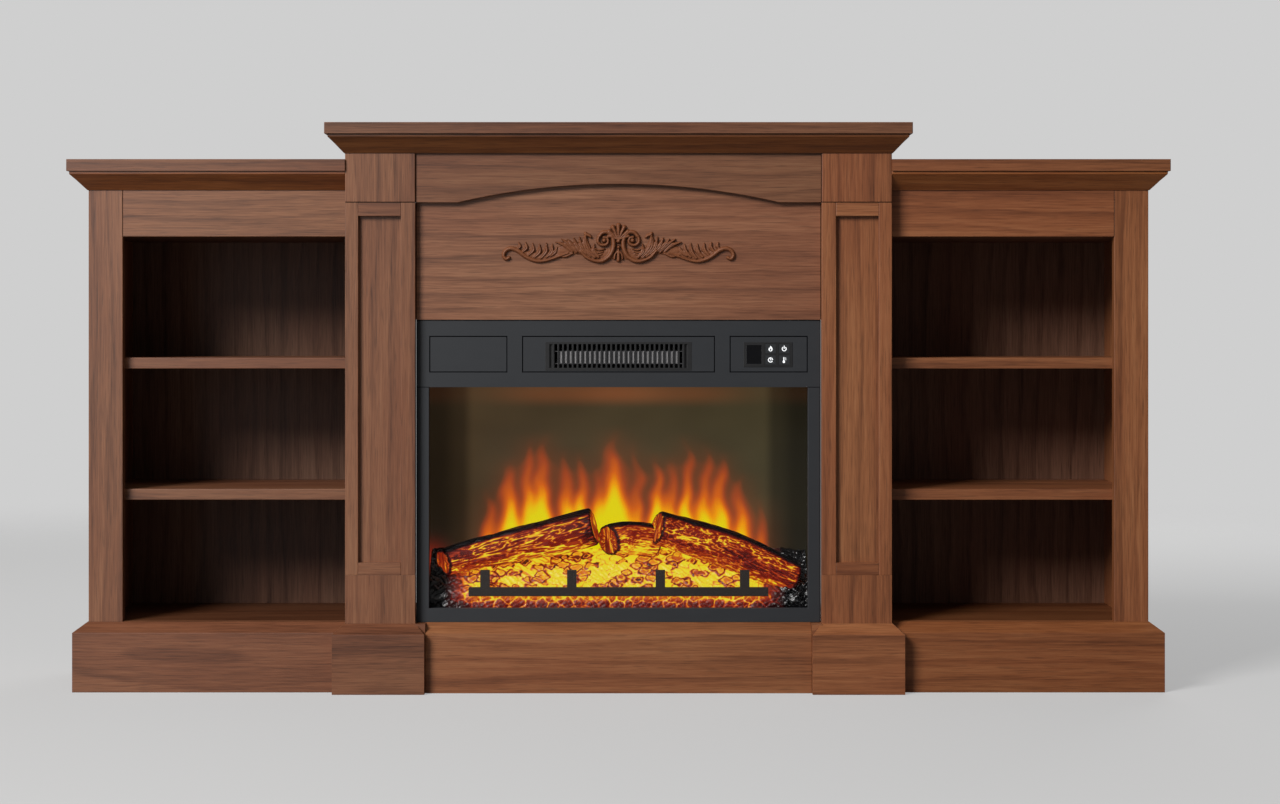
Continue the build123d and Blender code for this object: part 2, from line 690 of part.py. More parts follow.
with BuildPart() as fixing_screws:
    for side in (-1, 1):
        x = side * (CASE_HALF + EAR_OUT / 2)
        seat = FLOOR_Z + SHEET
        for ear_y in EAR_Y:
            rod_z(SCREW_R, FLOOR_Z - SCREW_REACH, seat, x, ear_y)
            rod_z(SCREW_HEAD_R, seat, seat + SCREW_HEAD_T, x, ear_y)
        seat = PANEL_FACE + BOARD + SHEET
        rod_y(SCREW_R, PANEL_FACE + BOARD - SCREW_REACH, seat, side * EAR_X, EAR_HOLE_Z)
        rod_y(SCREW_HEAD_R, seat, seat + SCREW_HEAD_T, side * EAR_X, EAR_HOLE_Z)
save(fixing_screws.part, "fixing_screws")

with BuildPart() as cord_gland:
    rod_y(GLAND_R, CASE_REAR - SHEET, CASE_REAR, GLAND_X, GLAND_Z)
    inside = CASE_REAR - SHEET - GLAND_NUT_T
    tip = CASE_REAR + GLAND_REACH
    rod_y(GLAND_NUT_R, inside, CASE_REAR - SHEET, GLAND_X, GLAND_Z)
    rod_y(GLAND_NUT_R, CASE_REAR, CASE_REAR + GLAND_NUT_T, GLAND_X, GLAND_Z)
    rod_y(GLAND_R, CASE_REAR + GLAND_NUT_T, tip, GLAND_X, GLAND_Z)
    rod_y(GLAND_BORE_R, inside, tip, GLAND_X, GLAND_Z, Mode.SUBTRACT)
save(cord_gland.part, "cord_gland")

# ---- flame effect -----------------------------------------------------------
with BuildPart() as flame_screen:
    inner = CASE_HALF - SHEET
    box(-inner, inner, SCREEN_Y, SCREEN_Y + SCREEN_T, FLOOR_Z + SHEET, DECK_Z)
save(flame_screen.part, "flame_screen")

with BuildPart() as flame_spindle:
    rod_x(SHAFT_R, SPIN_LEFT, SPIN_RIGHT, SPIN_Y, SPIN_Z)
    for flag in range(FLAGS):
        x = (flag - (FLAGS - 1) / 2) * FLAG_PITCH - FLAG_SHIFT
        turn = radians(FLAG_TURN * flag)
        flat = Plane(origin=(x, SPIN_Y, SPIN_Z), x_dir=(1, 0, 0), z_dir=(0, sin(turn), cos(turn)))
        with BuildSketch(flat) as blade:
            Rectangle(FLAG_W, 2 * FLAG_R)
        extrude(blade.sketch, amount=FLAG_T / 2, both=True)
save(flame_spindle.part, "flame_spindle")

with BuildPart() as spindle_motor:
    half = SPIN_MOTOR_HALF
    box(SPIN_MOTOR_X, CASE_HALF - SHEET, SPIN_Y - half, SPIN_Y + half, SPIN_Z - half, SPIN_Z + half)
    rod_x(SHAFT_R + RUNNING, SPIN_MOTOR_X, SPIN_RIGHT + SHAFT_PLAY, SPIN_Y, SPIN_Z, Mode.SUBTRACT)
save(spindle_motor.part, "spindle_motor")

# Two lamp strips on the casing floor: one under the spindle, one under the bed.
with BuildPart() as led_strips:
    strip_half = LED_COUNT * LED_PITCH / 2
    low = FLOOR_Z + SHEET
    for y in LED_ROW_Y:
        box(-strip_half, strip_half, y - LED_STRIP_HALF_W, y + LED_STRIP_HALF_W, low, low + PCB_T)
        for led in range(LED_COUNT):
            x = (led - (LED_COUNT - 1) / 2) * LED_PITCH
            half = LED_W / 2
            box(x - half, x + half, y - half, y + half, low + PCB_T, low + PCB_T + LED_T)
save(led_strips.part, "led_strips")

# ---- fuel bed ---------------------------------------------------------------
# Each log is (centres along it, radii). The middle one is cut to fit the others.
LOGS = {
    "left_log": (
        ((-294, -52, 205), (-235, -54, 217), (-165, -53, 233), (-95, -52, 250), (-38, -52, 267)),
        (21, 25, 28, 30, 32),
    ),
    "right_log": (
        ((66, -52, 262), (118, -53, 245), (175, -52, 226), (235, -53, 201), (290, -54, 178)),
        (28, 31, 32, 31, 27),
    ),
    "middle_log": (
        ((-20, -26, 236), (10, -24, 242), (40, -22, 242), (70, -20, 238)),
        (22, 26, 26, 24),
    ),
}
laid = []
for name, (centres, radii) in LOGS.items():
    with BuildPart() as log:
        rings = []
        for i, (centre, r) in enumerate(zip(centres, radii)):
            before = Vector(*centres[max(0, i - 1)])
            after = Vector(*centres[min(len(centres) - 1, i + 1)])
            with BuildSketch(Plane(origin=centre, z_dir=after - before)) as ring:
                Circle(r)
            rings.append(ring.sketch)
        loft(rings)
        if name == "middle_log":
            add(laid, mode=Mode.SUBTRACT)
    laid.append(log.part)
    save(log.part, name)

# The bed's section, as (Y, height over the casing floor), and that of its hollow.
BED_PROFILE = ((BED_FRONT, 0), (BED_FRONT, 42), (-70, 54), (-44, 78), (-12, 104), (5, 106), (5, 0))
BED_HOLLOW = ((-74, 0), (-74, 34), (-60, 46), (-34, 64), (-8, 84), (-1, 84), (-1, 0))
LUMP_MARGIN = 20.0
LUMP_SUNK = 3.0
BED_ROWS = ((-66, 53, 9, 17), (-44, 72, 9, 15), (-20, 92, 9, 16))  # Y, height, radius, lumps
with BuildPart() as ember_bed:
    base = FLOOR_Z + SHEET
    with BuildSketch(Plane.YZ.offset(-BED_HALF)) as mound:
        with BuildLine():
            Polyline(*[(y, base + z) for y, z in BED_PROFILE], close=True)
        make_face()
    extrude(mound.sketch, amount=2 * BED_HALF)
    with BuildSketch(Plane.YZ.offset(-BED_HALF + BED_WALL)) as hollow:
        with BuildLine():
            Polyline(*[(y, base + z) for y, z in BED_HOLLOW], close=True)
        make_face()
    extrude(hollow.sketch, amount=2 * (BED_HALF - BED_WALL), mode=Mode.SUBTRACT)
    # Lumps of fuel over the mound, in three staggered rows.
    for row, (y, z, r, count) in enumerate(BED_ROWS):
        for lump in range(count):
            pitch = 2 * (BED_HALF - LUMP_MARGIN) / count
            x = (lump - (count - 1) / 2) * pitch + 5 * sin(3.1 * lump + row)
            swell = r + 2 * sin(2.3 * lump + 1.7 * row)
            with Locations((x, y + 2 * cos(1.9 * lump), base + z - LUMP_SUNK)):
                Sphere(swell)
    add(laid, mode=Mode.SUBTRACT)
save(ember_bed.part, "ember_bed")

with BuildPart() as grate:
    box(-GRATE_HALF, GRATE_HALF, GRATE_FRONT, GRATE_FRONT + GRATE_T, GRATE_LOW, GRATE_HIGH)
    for x in POST_X:
        half = GRATE_POST_W / 2
        box(x - half, x + half, GRATE_FRONT, GRATE_FRONT + GRATE_T, GRATE_LOW, GRATE_POST_TOP)
        box(x - half, x + half, GRATE_FRONT + GRATE_T, BED_FRONT, GRATE_LOW, GRATE_TAB_TOP)
save(grate.part, "grate")

# ---- heater and blower ------------------------------------------------------
with BuildPart() as blower_housing:
    low = DECK_Z + SHEET
    inner = HOUSE_HALF - HOUSE_WALL
    rod_x(CAVITY_R + HOUSE_WALL, -HOUSE_HALF, HOUSE_HALF, BLOW_Y, BLOW_Z)
    box(
        -HOUSE_HALF,
        HOUSE_HALF,
        HOUSE_FRONT,
        BLOW_Y,
        OUTLET_LOW - HOUSE_WALL,
        OUTLET_HIGH + HOUSE_WALL,
    )
    box(
        -HOUSE_HALF,
        HOUSE_HALF,
        BLOW_Y,
        HOUSE_REAR,
        INLET_LOW - HOUSE_WALL,
        INLET_HIGH + HOUSE_WALL,
    )
    for side in (-1, 1):
        x0, x1 = span(side, inner, HOUSE_HALF)
        box(x0, x1, HOUSE_FRONT, HOUSE_REAR, low, BLOW_Z)
    rod_x(CAVITY_R, -inner, inner, BLOW_Y, BLOW_Z, Mode.SUBTRACT)
    box(-inner, inner, HOUSE_FRONT, BLOW_Y, OUTLET_LOW, OUTLET_HIGH, Mode.SUBTRACT)
    box(-inner, inner, BLOW_Y, HOUSE_REAR, INLET_LOW, INLET_HIGH, Mode.SUBTRACT)
    rod_x(SHAFT_R + RUNNING, -HOUSE_HALF, HOUSE_HALF, BLOW_Y, BLOW_Z, Mode.SUBTRACT)
save(blower_housing.part, "blower_housing")

with BuildPart() as blower_impeller:
    rod_x(SHAFT_R, -HOUSE_HALF, BLOW_SHAFT_END, BLOW_Y, BLOW_Z)
    for x in (-WHEEL_HALF, -DISC_T / 2, WHEEL_HALF - DISC_T):
        rod_x(WHEEL_R, x, x + DISC_T, BLOW_Y, BLOW_Z)
    end = Plane(origin=(-WHEEL_HALF, BLOW_Y, BLOW_Z), x_dir=(0, 1, 0), z_dir=(1, 0, 0))
    with BuildSketch(end) as blades:
        with PolarLocations(WHEEL_R - BLADE_DEPTH / 2 - BLADE_INSET, BLADES):
            Rectangle(BLADE_DEPTH, BLADE_T, rotation=BLADE_LEAN)
    extrude(blades.sketch, amount=2 * WHEEL_HALF)
save(blower_impeller.part, "blower_impeller")

with BuildPart() as blower_motor:
    rod_x(MOTOR_R, MOTOR_X, MOTOR_X + MOTOR_LEN, BLOW_Y, BLOW_Z)
    rod_x(MOTOR_R / 2, HOUSE_HALF, MOTOR_X, BLOW_Y, BLOW_Z)
    rod_x(SHAFT_R + RUNNING, HOUSE_HALF, BLOW_SHAFT_END + SHAFT_PLAY, BLOW_Y, BLOW_Z, Mode.SUBTRACT)
save(blower_motor.part, "blower_motor")

with BuildPart() as heating_element:
    for z in (OUTLET_LOW, OUTLET_HIGH - HEATER_BAR):
        box(-HEATER_HALF, HEATER_HALF, HEATER_FRONT, HEATER_REAR, z, z + HEATER_BAR)
    fins = int(2 * HEATER_HALF / FIN_PITCH)
    front = HEATER_FRONT + FIN_INSET
    rear = HEATER_REAR - FIN_INSET
    for fin in range(fins + 1):
        x = (fin - fins / 2) * (2 * HEATER_HALF - FIN_T) / fins
        box(x - FIN_T / 2, x + FIN_T / 2, front, rear, OUTLET_LOW, OUTLET_HIGH)
save(heating_element.part, "heating_element")
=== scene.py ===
import math
import random

import bmesh
import bpy
import numpy as np
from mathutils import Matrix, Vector, noise


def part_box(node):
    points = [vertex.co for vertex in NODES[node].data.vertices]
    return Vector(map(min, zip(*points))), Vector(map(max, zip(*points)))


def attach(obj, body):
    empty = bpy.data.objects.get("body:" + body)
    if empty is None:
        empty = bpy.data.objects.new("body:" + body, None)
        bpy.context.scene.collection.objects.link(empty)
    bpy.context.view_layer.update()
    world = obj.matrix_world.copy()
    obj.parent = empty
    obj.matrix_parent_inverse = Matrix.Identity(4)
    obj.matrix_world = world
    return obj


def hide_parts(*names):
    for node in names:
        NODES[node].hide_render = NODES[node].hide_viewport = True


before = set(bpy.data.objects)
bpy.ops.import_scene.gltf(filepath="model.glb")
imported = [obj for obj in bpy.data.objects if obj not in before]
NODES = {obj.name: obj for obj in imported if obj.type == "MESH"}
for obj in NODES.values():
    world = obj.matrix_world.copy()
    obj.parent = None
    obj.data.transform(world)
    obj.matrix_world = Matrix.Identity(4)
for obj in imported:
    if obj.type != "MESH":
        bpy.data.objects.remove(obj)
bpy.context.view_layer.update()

MM = 0.001
STATIC = "cabinet"


# ---------------------------------------------------------------- node helpers
class Shader:
    """A new material and short ways to add nodes to it."""

    def __init__(self, name):
        self.mat = bpy.data.materials.new(name)
        self.mat.use_nodes = True
        self.nt = self.mat.node_tree
        self.bsdf = self.nt.nodes["Principled BSDF"]
        self.out = self.nt.nodes["Material Output"]
        self.place = self.nt.nodes.new("ShaderNodeTexCoord").outputs["Object"]

    def add(self, kind, inputs=None, **props):
        n = self.nt.nodes.new("ShaderNode" + kind)
        for key, value in props.items():
            setattr(n, key, value)
        for key, value in (inputs or {}).items():
            self.feed(n.inputs[key], value)
        return n

    def feed(self, socket, value):
        if isinstance(value, bpy.types.NodeSocket):
            self.nt.links.new(value, socket)
        else:
            socket.default_value = value

    def math(self, op, a, b=0.0, c=0.0, clamp=False):
        return self.add("Math", {0: a, 1: b, 2: c}, operation=op, use_clamp=clamp).outputs[0]

    def scaled(self, scale, offset=(0, 0, 0), source=None):
        source = self.place if source is None else source
        return self.add("Mapping", {"Vector": source, "Location": offset, "Scale": scale}).outputs[0]

    def noise(self, vector, scale=1.0, detail=2.0, rough=0.5, distortion=0.0):
        inputs = {"Vector": vector, "Scale": scale, "Detail": detail, "Roughness": rough}
        inputs["Distortion"] = distortion
        return self.add("TexNoise", inputs).outputs["Fac"]

    def ramp(self, fac, stops, interpolation="LINEAR"):
        """A colour ramp; a stop's colour is red, green and blue, or one number for a grey."""
        n = self.add("ValToRGB", {0: fac})
        n.color_ramp.interpolation = interpolation
        while len(n.color_ramp.elements) < len(stops):
            n.color_ramp.elements.new(0.5)
        for element, (at, colour) in zip(n.color_ramp.elements, stops):
            element.position = at
            shade = (colour,) * 3 if isinstance(colour, float) else colour
            element.color = (*shade, 1)
        return n.outputs[0]

    def mix(self, fac, a, b, blend="MIX"):
        n = self.add("Mix", data_type="RGBA", blend_type=blend)
        self.feed(n.inputs[0], fac)
        self.feed(n.inputs[6], a)
        self.feed(n.inputs[7], b)
        return n.outputs[2]

    def set(self, **inputs):
        for key, value in inputs.items():
            self.feed(self.bsdf.inputs[key.replace("_", " ")], value)
        return self

    def fix(self, name, value):
        """Sets a constant straight on one of the surface's sockets."""
        self.bsdf.inputs[name].default_value = value

    def bump(self, height, distance, strength=1.0):
        n = self.add("Bump", {"Height": height, "Distance": distance, "Strength": strength})
        self.feed(self.bsdf.inputs["Normal"], n.outputs[0])
        return self


# ------------------------------------------------------------------- materials
WOOD_DARK = (0.082, 0.028, 0.012)
WOOD_MID = (0.194, 0.076, 0.035)
WOOD_LIGHT = (0.298, 0.138, 0.068)
RING_SPACING = 0.030
AXIS_ORDER = {"x": (0, 1, 2), "y": (1, 0, 2), "z": (2, 1, 0)}
_woods = {}


def wood(axis, seed, tone=1.0, heart=0.07, grey=0.0):
    """Lacquered walnut-brown wood with its grain along axis.

    heart is how far behind the face the log's centre lay, in metres. grey pulls the colours
    towards grey and, below zero, away from it."""
    key = (axis, seed, tone, heart, grey)
    if key in _woods:
        return _woods[key]
    s = Shader(f"wood_{axis}_{seed}")
    rng = random.Random(seed * 7 + ord(axis))
    split = s.add("SeparateXYZ", {0: s.place}).outputs
    order = AXIS_ORDER[axis]
    turned = s.add("CombineXYZ", {i: split[k] for i, k in enumerate(order)}).outputs[0]
    shift = (rng.uniform(-4, 4), heart + rng.uniform(-0.01, 0.02), rng.uniform(-0.09, 0.09))
    slow = s.scaled((1, 1, 1), (shift[0], rng.uniform(0, 9), rng.uniform(0, 9)), turned)
    # Growth rings round a wandering centre line give the flat-sawn figure.
    wander = s.noise(s.scaled((1.3, 4, 4), source=slow), 1.0, 2.0, 0.5)
    ripple = s.noise(s.scaled((2.6, 12, 12), source=slow), 1.0, 3.0, 0.5)
    part = s.add("SeparateXYZ", {0: s.scaled((1, 1, 1), (0, shift[1], shift[2]), turned)}).outputs
    centre_v = s.math("MULTIPLY_ADD", wander, 0.20, part[1])
    centre_v = s.math("SUBTRACT", centre_v, 0.10)
    centre_w = s.math("MULTIPLY_ADD", ripple, 0.05, part[2])
    square = s.math("ADD", s.math("MULTIPLY", centre_v, centre_v), s.math("MULTIPLY", centre_w, centre_w))
    radius = s.math("SQRT", square)
    turn = s.math("DIVIDE", radius, RING_SPACING)
    ring = s.math("FRACT", turn)
    ring = s.ramp(ring, [(0.0, 0.58), (0.50, 0.5), (0.86, 0.26), (1.0, 0.58)], "EASE")
    fibre = s.noise(s.scaled((16, 480, 480), source=slow), 1.0, 3.0, 0.6)
    streak = s.noise(s.scaled((1.5, 150, 150), source=slow), 1.0, 3.0, 0.6)
    broad = s.noise(s.scaled((0.9, 15, 15), source=slow), 1.0, 2.0, 0.5)
    patch = s.noise(s.scaled((1.6, 6, 6), (3, 3, 3), slow), 1.0, 2.0, 0.5)
    pore = s.noise(s.scaled((26, 760, 760), source=slow), 1.0, 1.0, 0.5)
    line = s.noise(s.scaled((7, 330, 330), source=slow), 1.0, 3.0, 0.6, 0.3)
    fac = s.math("MULTIPLY", ring, 0.46)
    fac = s.math("MULTIPLY_ADD", streak, 0.24, fac)
    fac = s.math("MULTIPLY_ADD", broad, 0.50, fac)
    fac = s.math("MULTIPLY_ADD", line, 0.30, fac)
    fac = s.math("MULTIPLY_ADD", fibre, 0.50, fac)
    fac = s.math("SUBTRACT", fac, 0.52)
    shades = []
    for shade in (WOOD_DARK, WOOD_MID, WOOD_LIGHT):
        level = sum(shade) / 3
        shades.append(tuple(tone * (c + grey * (level - c)) for c in shade))
    dark, mid, light = shades
    colour = s.ramp(fac, [(0.20, dark), (0.50, mid), (0.84, light)])
    blush = s.ramp(patch, [(0.34, (1.11, 1.14, 1.12)), (0.64, (0.91, 0.80, 0.74))])
    colour = s.mix(1.0, colour, blush, "MULTIPLY")
    pores = s.ramp(pore, [(0.32, 0.58), (0.43, 1.03)])
    colour = s.mix(0.62, colour, pores, "MULTIPLY")
    rough = s.math("MULTIPLY_ADD", fibre, 0.16, 0.40)
    s.set(Base_Color=colour, Roughness=rough)
    # Boards inside the wings, painted darker or greyer as shade, have less sheen.
    s.fix("Specular IOR Level", 0.36 if tone > 0.7 and grey < 0.2 else 0.10)
    s.bump(s.math("MULTIPLY_ADD", pore, 0.5, fibre), 0.00025, 0.55)
    _woods[key] = s.mat
    return s.mat


def painted(name, colour, rough=0.45, grain=900.0, depth=0.00006, spec=0.4, metal=0.0, wear=0.12):
    """Paint or moulded plastic with a fine texture and slight unevenness."""
    s = Shader(name)
    fine = s.noise(s.place, grain, 2.0, 0.6)
    broad = s.noise(s.place, 14.0, 3.0, 0.5)
    scuff = s.noise(s.scaled((30, 30, 160)), 1.0, 3.0, 0.6)
    shade = s.math("MULTIPLY_ADD", broad, wear, 1.0 - wear / 2)
    tint = s.add("CombineColor", {0: shade, 1: shade, 2: shade}).outputs[0]
    s.set(Base_Color=s.mix(1.0, (*colour, 1), tint, "MULTIPLY"))
    scuffed = s.math("MULTIPLY_ADD", scuff, 0.14, rough - 0.09)
    s.set(Roughness=s.math("ADD", scuffed, s.math("MULTIPLY", fine, 0.04)))
    s.fix("Metallic", metal)
    s.fix("Specular IOR Level", spec)
    s.bump(fine, depth, 0.6)
    return s.mat


CHARCOAL = painted("charcoal_metal", (0.024, 0.026, 0.030), 0.50, spec=0.3)
BLACK_PLASTIC = painted("black_plastic", (0.012, 0.012, 0.013), 0.42)
KEY_PLASTIC = painted("key_plastic", (0.022, 0.024, 0.027), 0.42)
SHEET_STEEL = painted("black_sheet", (0.018, 0.018, 0.019), 0.42, 500.0)
ZINC = painted("zinc", (0.50, 0.51, 0.53), 0.32, 700.0, metal=1.0, wear=0.3)
FINS = painted("fins", (0.30, 0.29, 0.29), 0.40, 800.0, metal=0.0, wear=0.3)
BOARD_GREEN = painted("solder_mask", (0.015, 0.10, 0.045), 0.30, 400.0, wear=0.4)
GRATE_IRON = painted("grate_iron", (0.018, 0.011, 0.008), 0.62, 420.0, 0.0004, wear=0.5)
DARK_STEEL = painted("impeller_steel", (0.055, 0.055, 0.06), 0.5, 600.0, wear=0.3)
ICON_WHITE = painted("icon_white", (0.86, 0.87, 0.88), 0.5)
# Painted light: the printed symbols get a faint white glow of their own.
icon_glow_bsdf = ICON_WHITE.node_tree.nodes["Principled BSDF"]
icon_glow_bsdf.inputs["Emission Color"].default_value = (0.9, 0.95, 1.0, 1)
icon_glow_bsdf.inputs["Emission Strength"].default_value = 0.45
DISPLAY = painted("display_lens", (0.003, 0.003, 0.004), 0.12, 300.0, 0.00001, spec=0.5)


# ------------------------------------------------------------------ mesh tools
def limits(node):
    """x0, x1, y0, y1, z0, z1 of a CAD node, in millimetres."""
    lo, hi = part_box(node)
    return lo[0] / MM, hi[0] / MM, lo[1] / MM, hi[1] / MM, lo[2] / MM, hi[2] / MM


def off_centre(node):
    """How far off the middle plane a CAD node starts and ends, in millimetres."""
    x0, x1 = limits(node)[:2]
    return sorted((abs(x0), abs(x1)))


def across(side, a, b):
    """X limits of a piece on the left (-1) or right (1) from its distances off the centre."""
    return sorted((side * a, side * b))


def finish_mesh(name, bm, mats, body=STATIC, smooth=0.0, replaces=()):
    """Turns a bmesh in millimetres into an object that rides on a body."""
    bmesh.ops.scale(bm, vec=(MM, MM, MM), verts=bm.verts)
    bmesh.ops.recalc_face_normals(bm, faces=bm.faces)
    me = bpy.data.meshes.new(name)
    bm.to_mesh(me)
    bm.free()
    for m in mats:
        me.materials.append(m)
    ob = bpy.data.objects.new(name, me)
    bpy.context.collection.objects.link(ob)
    if smooth:
        me.shade_smooth()
        me.set_sharp_from_angle(angle=smooth)
    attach(ob, body)
    if replaces:
        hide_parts(*replaces)
    return ob


def finish_boards(name, bm, mats, replaced):
    """Veneered boards that stand in for a CAD node."""
    finish_mesh(name, bm, mats, replaces=[replaced])


def add_prism(bm, rings, mat, ease):
    """Joins two equal rings of corners into a closed prism and eases its edges."""
    verts = [[bm.verts.new(p) for p in ring] for ring in rings]
    count = len(rings[0])
    faces = [bm.faces.new(verts[0]), bm.faces.new(list(reversed(verts[1])))]
    for i in range(count):
        j = (i + 1) % count
        faces.append(bm.faces.new((verts[0][i], verts[1][i], verts[1][j], verts[0][j])))
    for f in faces:
        f.material_index = mat
    bmesh.ops.recalc_face_normals(bm, faces=faces)
    edges = {e for f in faces for e in f.edges if e.calc_length() > 4 * ease}
    if ease:
        made = bmesh.ops.bevel(
            bm, geom=list(edges), offset=ease, segments=2, profile=0.5, affect="EDGES", clamp_overlap=True
        )
        for f in made["faces"]:
            f.material_index = mat
    return faces


def add_box(bm, x0, x1, y0, y1, z0, z1, mat=0, ease=0.8):
    low = [(x0, y0, z0), (x1, y0, z0), (x1, y1, z0), (x0, y1, z0)]
    high = [(x, y, z1) for x, y, _ in low]
    add_prism(bm, (low, high), mat, ease)


def ease_node(node, width=0.9):
    """Rounds the sharp edges of a carried-over CAD node."""
    ob = NODES[node]
    weld = ob.modifiers.new("weld", "WELD")
    weld.merge_threshold = 0.00002
    bevel = ob.modifiers.new("ease", "BEVEL")
    bevel.width = width * MM
    bevel.segments = 2
    bevel.limit_method = "ANGLE"
    bevel.angle_limit = math.radians(40)
    bevel.harden_normals = False
    return ob


def dress(node, mat, width=0.9):
    """Gives a carried-over CAD node its material and eased edges."""
    ob = ease_node(node, width) if width else NODES[node]
    if not ob.material_slots:
        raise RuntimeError(f"{node} has no material slot")
    for slot in ob.material_slots:
        slot.material = mat


# --------------------------------------------------------------------- camera
# The eye is level and square to the front, and the lens is shifted to frame the object.
LENS, LENS_SHIFT = 65.1, (0.0168, -0.0563)
EYE = (0.0, -3.9055, 0.5917)
cam_data = bpy.data.cameras.new("camera")
cam_data.lens = LENS
cam_data.sensor_width = 36.0
cam_data.shift_x, cam_data.shift_y = LENS_SHIFT
cam_data.clip_end = 60.0
cam = bpy.data.objects.new("camera", cam_data)
cam.location = EYE
cam.rotation_euler = (math.pi / 2, 0, 0)
bpy.context.collection.objects.link(cam)
bpy.context.scene.camera = cam

# ------------------------------------------------------- boards kept from CAD
# Painted light: the centre panel gets a lighter copy of the wood.
CENTRE_GREY = {"centre_plinth": -0.12, "centre_panel": 0.06}
for i, (node, axis, tone) in enumerate(
    (
        ("mantel_top_slab", "x", 0.80),
        ("arch_board", "x", 0.82),
        ("centre_panel", "x", 1.18),
        ("centre_plinth", "x", 1.10),
        ("hearth_board", "x", 0.9),
    )
):
    dress(node, wood(axis, 11 + i, tone, grey=CENTRE_GREY.get(node, 0.0)))
# Painted light: the right-hand pieces get lighter, more saturated copies of the wood than the left-hand
# ones.
HAND_LIGHT_TONE = {"left": 1.0, "right": 1.20}
HAND_LIGHT_GREY = {"left": 0.0, "right": -0.12}
for i, hand in enumerate(("left", "right")):
    for j, (part, axis, tone) in enumerate(
        (
            ("partition", "z", 0.69),
            ("wing_top", "x", 0.92),
            ("outer_side", "z", 1.0),
            ("wing_floor", "x", 0.56),
            ("lower_shelf", "x", 0.88),
            ("upper_shelf", "x", 0.88),
            ("wing_ceiling", "x", 0.69),
            ("wing_back", "z", 0.74),
        )
    ):
        # Painted shade: the back, partition and ceiling inside the wings get greyed colours, and these and
        # the wing floor get darker tones.
        grey = 0.30 if part in ("wing_back", "partition", "wing_ceiling") else HAND_LIGHT_GREY[hand]
        dress(f"{hand}_{part}", wood(axis, 30 + 10 * i + j, tone * HAND_LIGHT_TONE[hand], grey=grey))

# ------------------------------------------- built-up frames, mitred mouldings
def corner_runs(bm, corners, reach, profile, first_mat, ease=0.7, coped=0.0):
    """Mitred boards along a path of right-angled corners in plan.

    coped draws the top of the first run's free end along X, to fit a sloped neighbour.

    corners are plan points; reach[i] is how far run i stands out, as a signed
    (dx, dy); profile is (share of reach, height). Each run is its own board."""
    last = len(corners) - 1
    for i in range(last):
        rings = []
        for end in (i, i + 1):
            x, y = corners[end]
            dx, dy = reach[i]
            if 0 < end < last:
                before, after = reach[end - 1], reach[end]
                dx, dy = before[0] + after[0], before[1] + after[1]
            top = profile[-1][1]
            pull = coped if end == 0 else 0.0
            rings.append([(x + t * dx + (pull if z >= top else 0.0), y + t * dy, z) for t, z in profile])
        add_prism(bm, rings, first_mat + i, ease)


x0, x1, y0, y1, z0, z1 = limits("mantel_crown")
CROWN_OUT = 25.5
CROWN_BREAK = 5.0
half = x1 - CROWN_OUT
front = y0 + CROWN_OUT
CROWN_PROFILE = [
    (0.0, z0),
    (0.06, z0),
    (0.30, z0 + 6.6),
    (0.62, z0 + 15.4),
    (1.0, z1 - CROWN_BREAK),
    (1.0, z1),
    (0.0, z1),
]
CROWN_GREY = -0.3
bm = bmesh.new()
corner_runs(
    bm,
    [(-half, y1), (-half, front), (half, front), (half, y1)],
    [(-CROWN_OUT, 0), (0, -CROWN_OUT), (CROWN_OUT, 0)],
    CROWN_PROFILE,
    0,
)
inner_x = limits("right_pilaster")[0]
add_box(bm, -inner_x, inner_x, front, limits("arch_board")[2], z0, z1, 1, 0.0)
# Painted shade: the mantel crown's runs get a darker copy of the wood.
woods = [wood(axis, seed, 0.72, grey=CROWN_GREY) for axis, seed in (("y", 3), ("x", 5), ("y", 4))]
finish_boards("mantel_crown_runs", bm, woods, "mantel_crown")

# Pilaster: stile widths, heights of its rails, panel and cap, and how deep the panel is sunk.
INNER_STILE_W, OUTER_STILE_W = 23.4, 21.5
RAIL_LOW, PANEL_LOW, PANEL_HIGH, CAP_LOW = 191.7, 212.0, 777.5, 800.0
PANEL_SUNK = 9.0
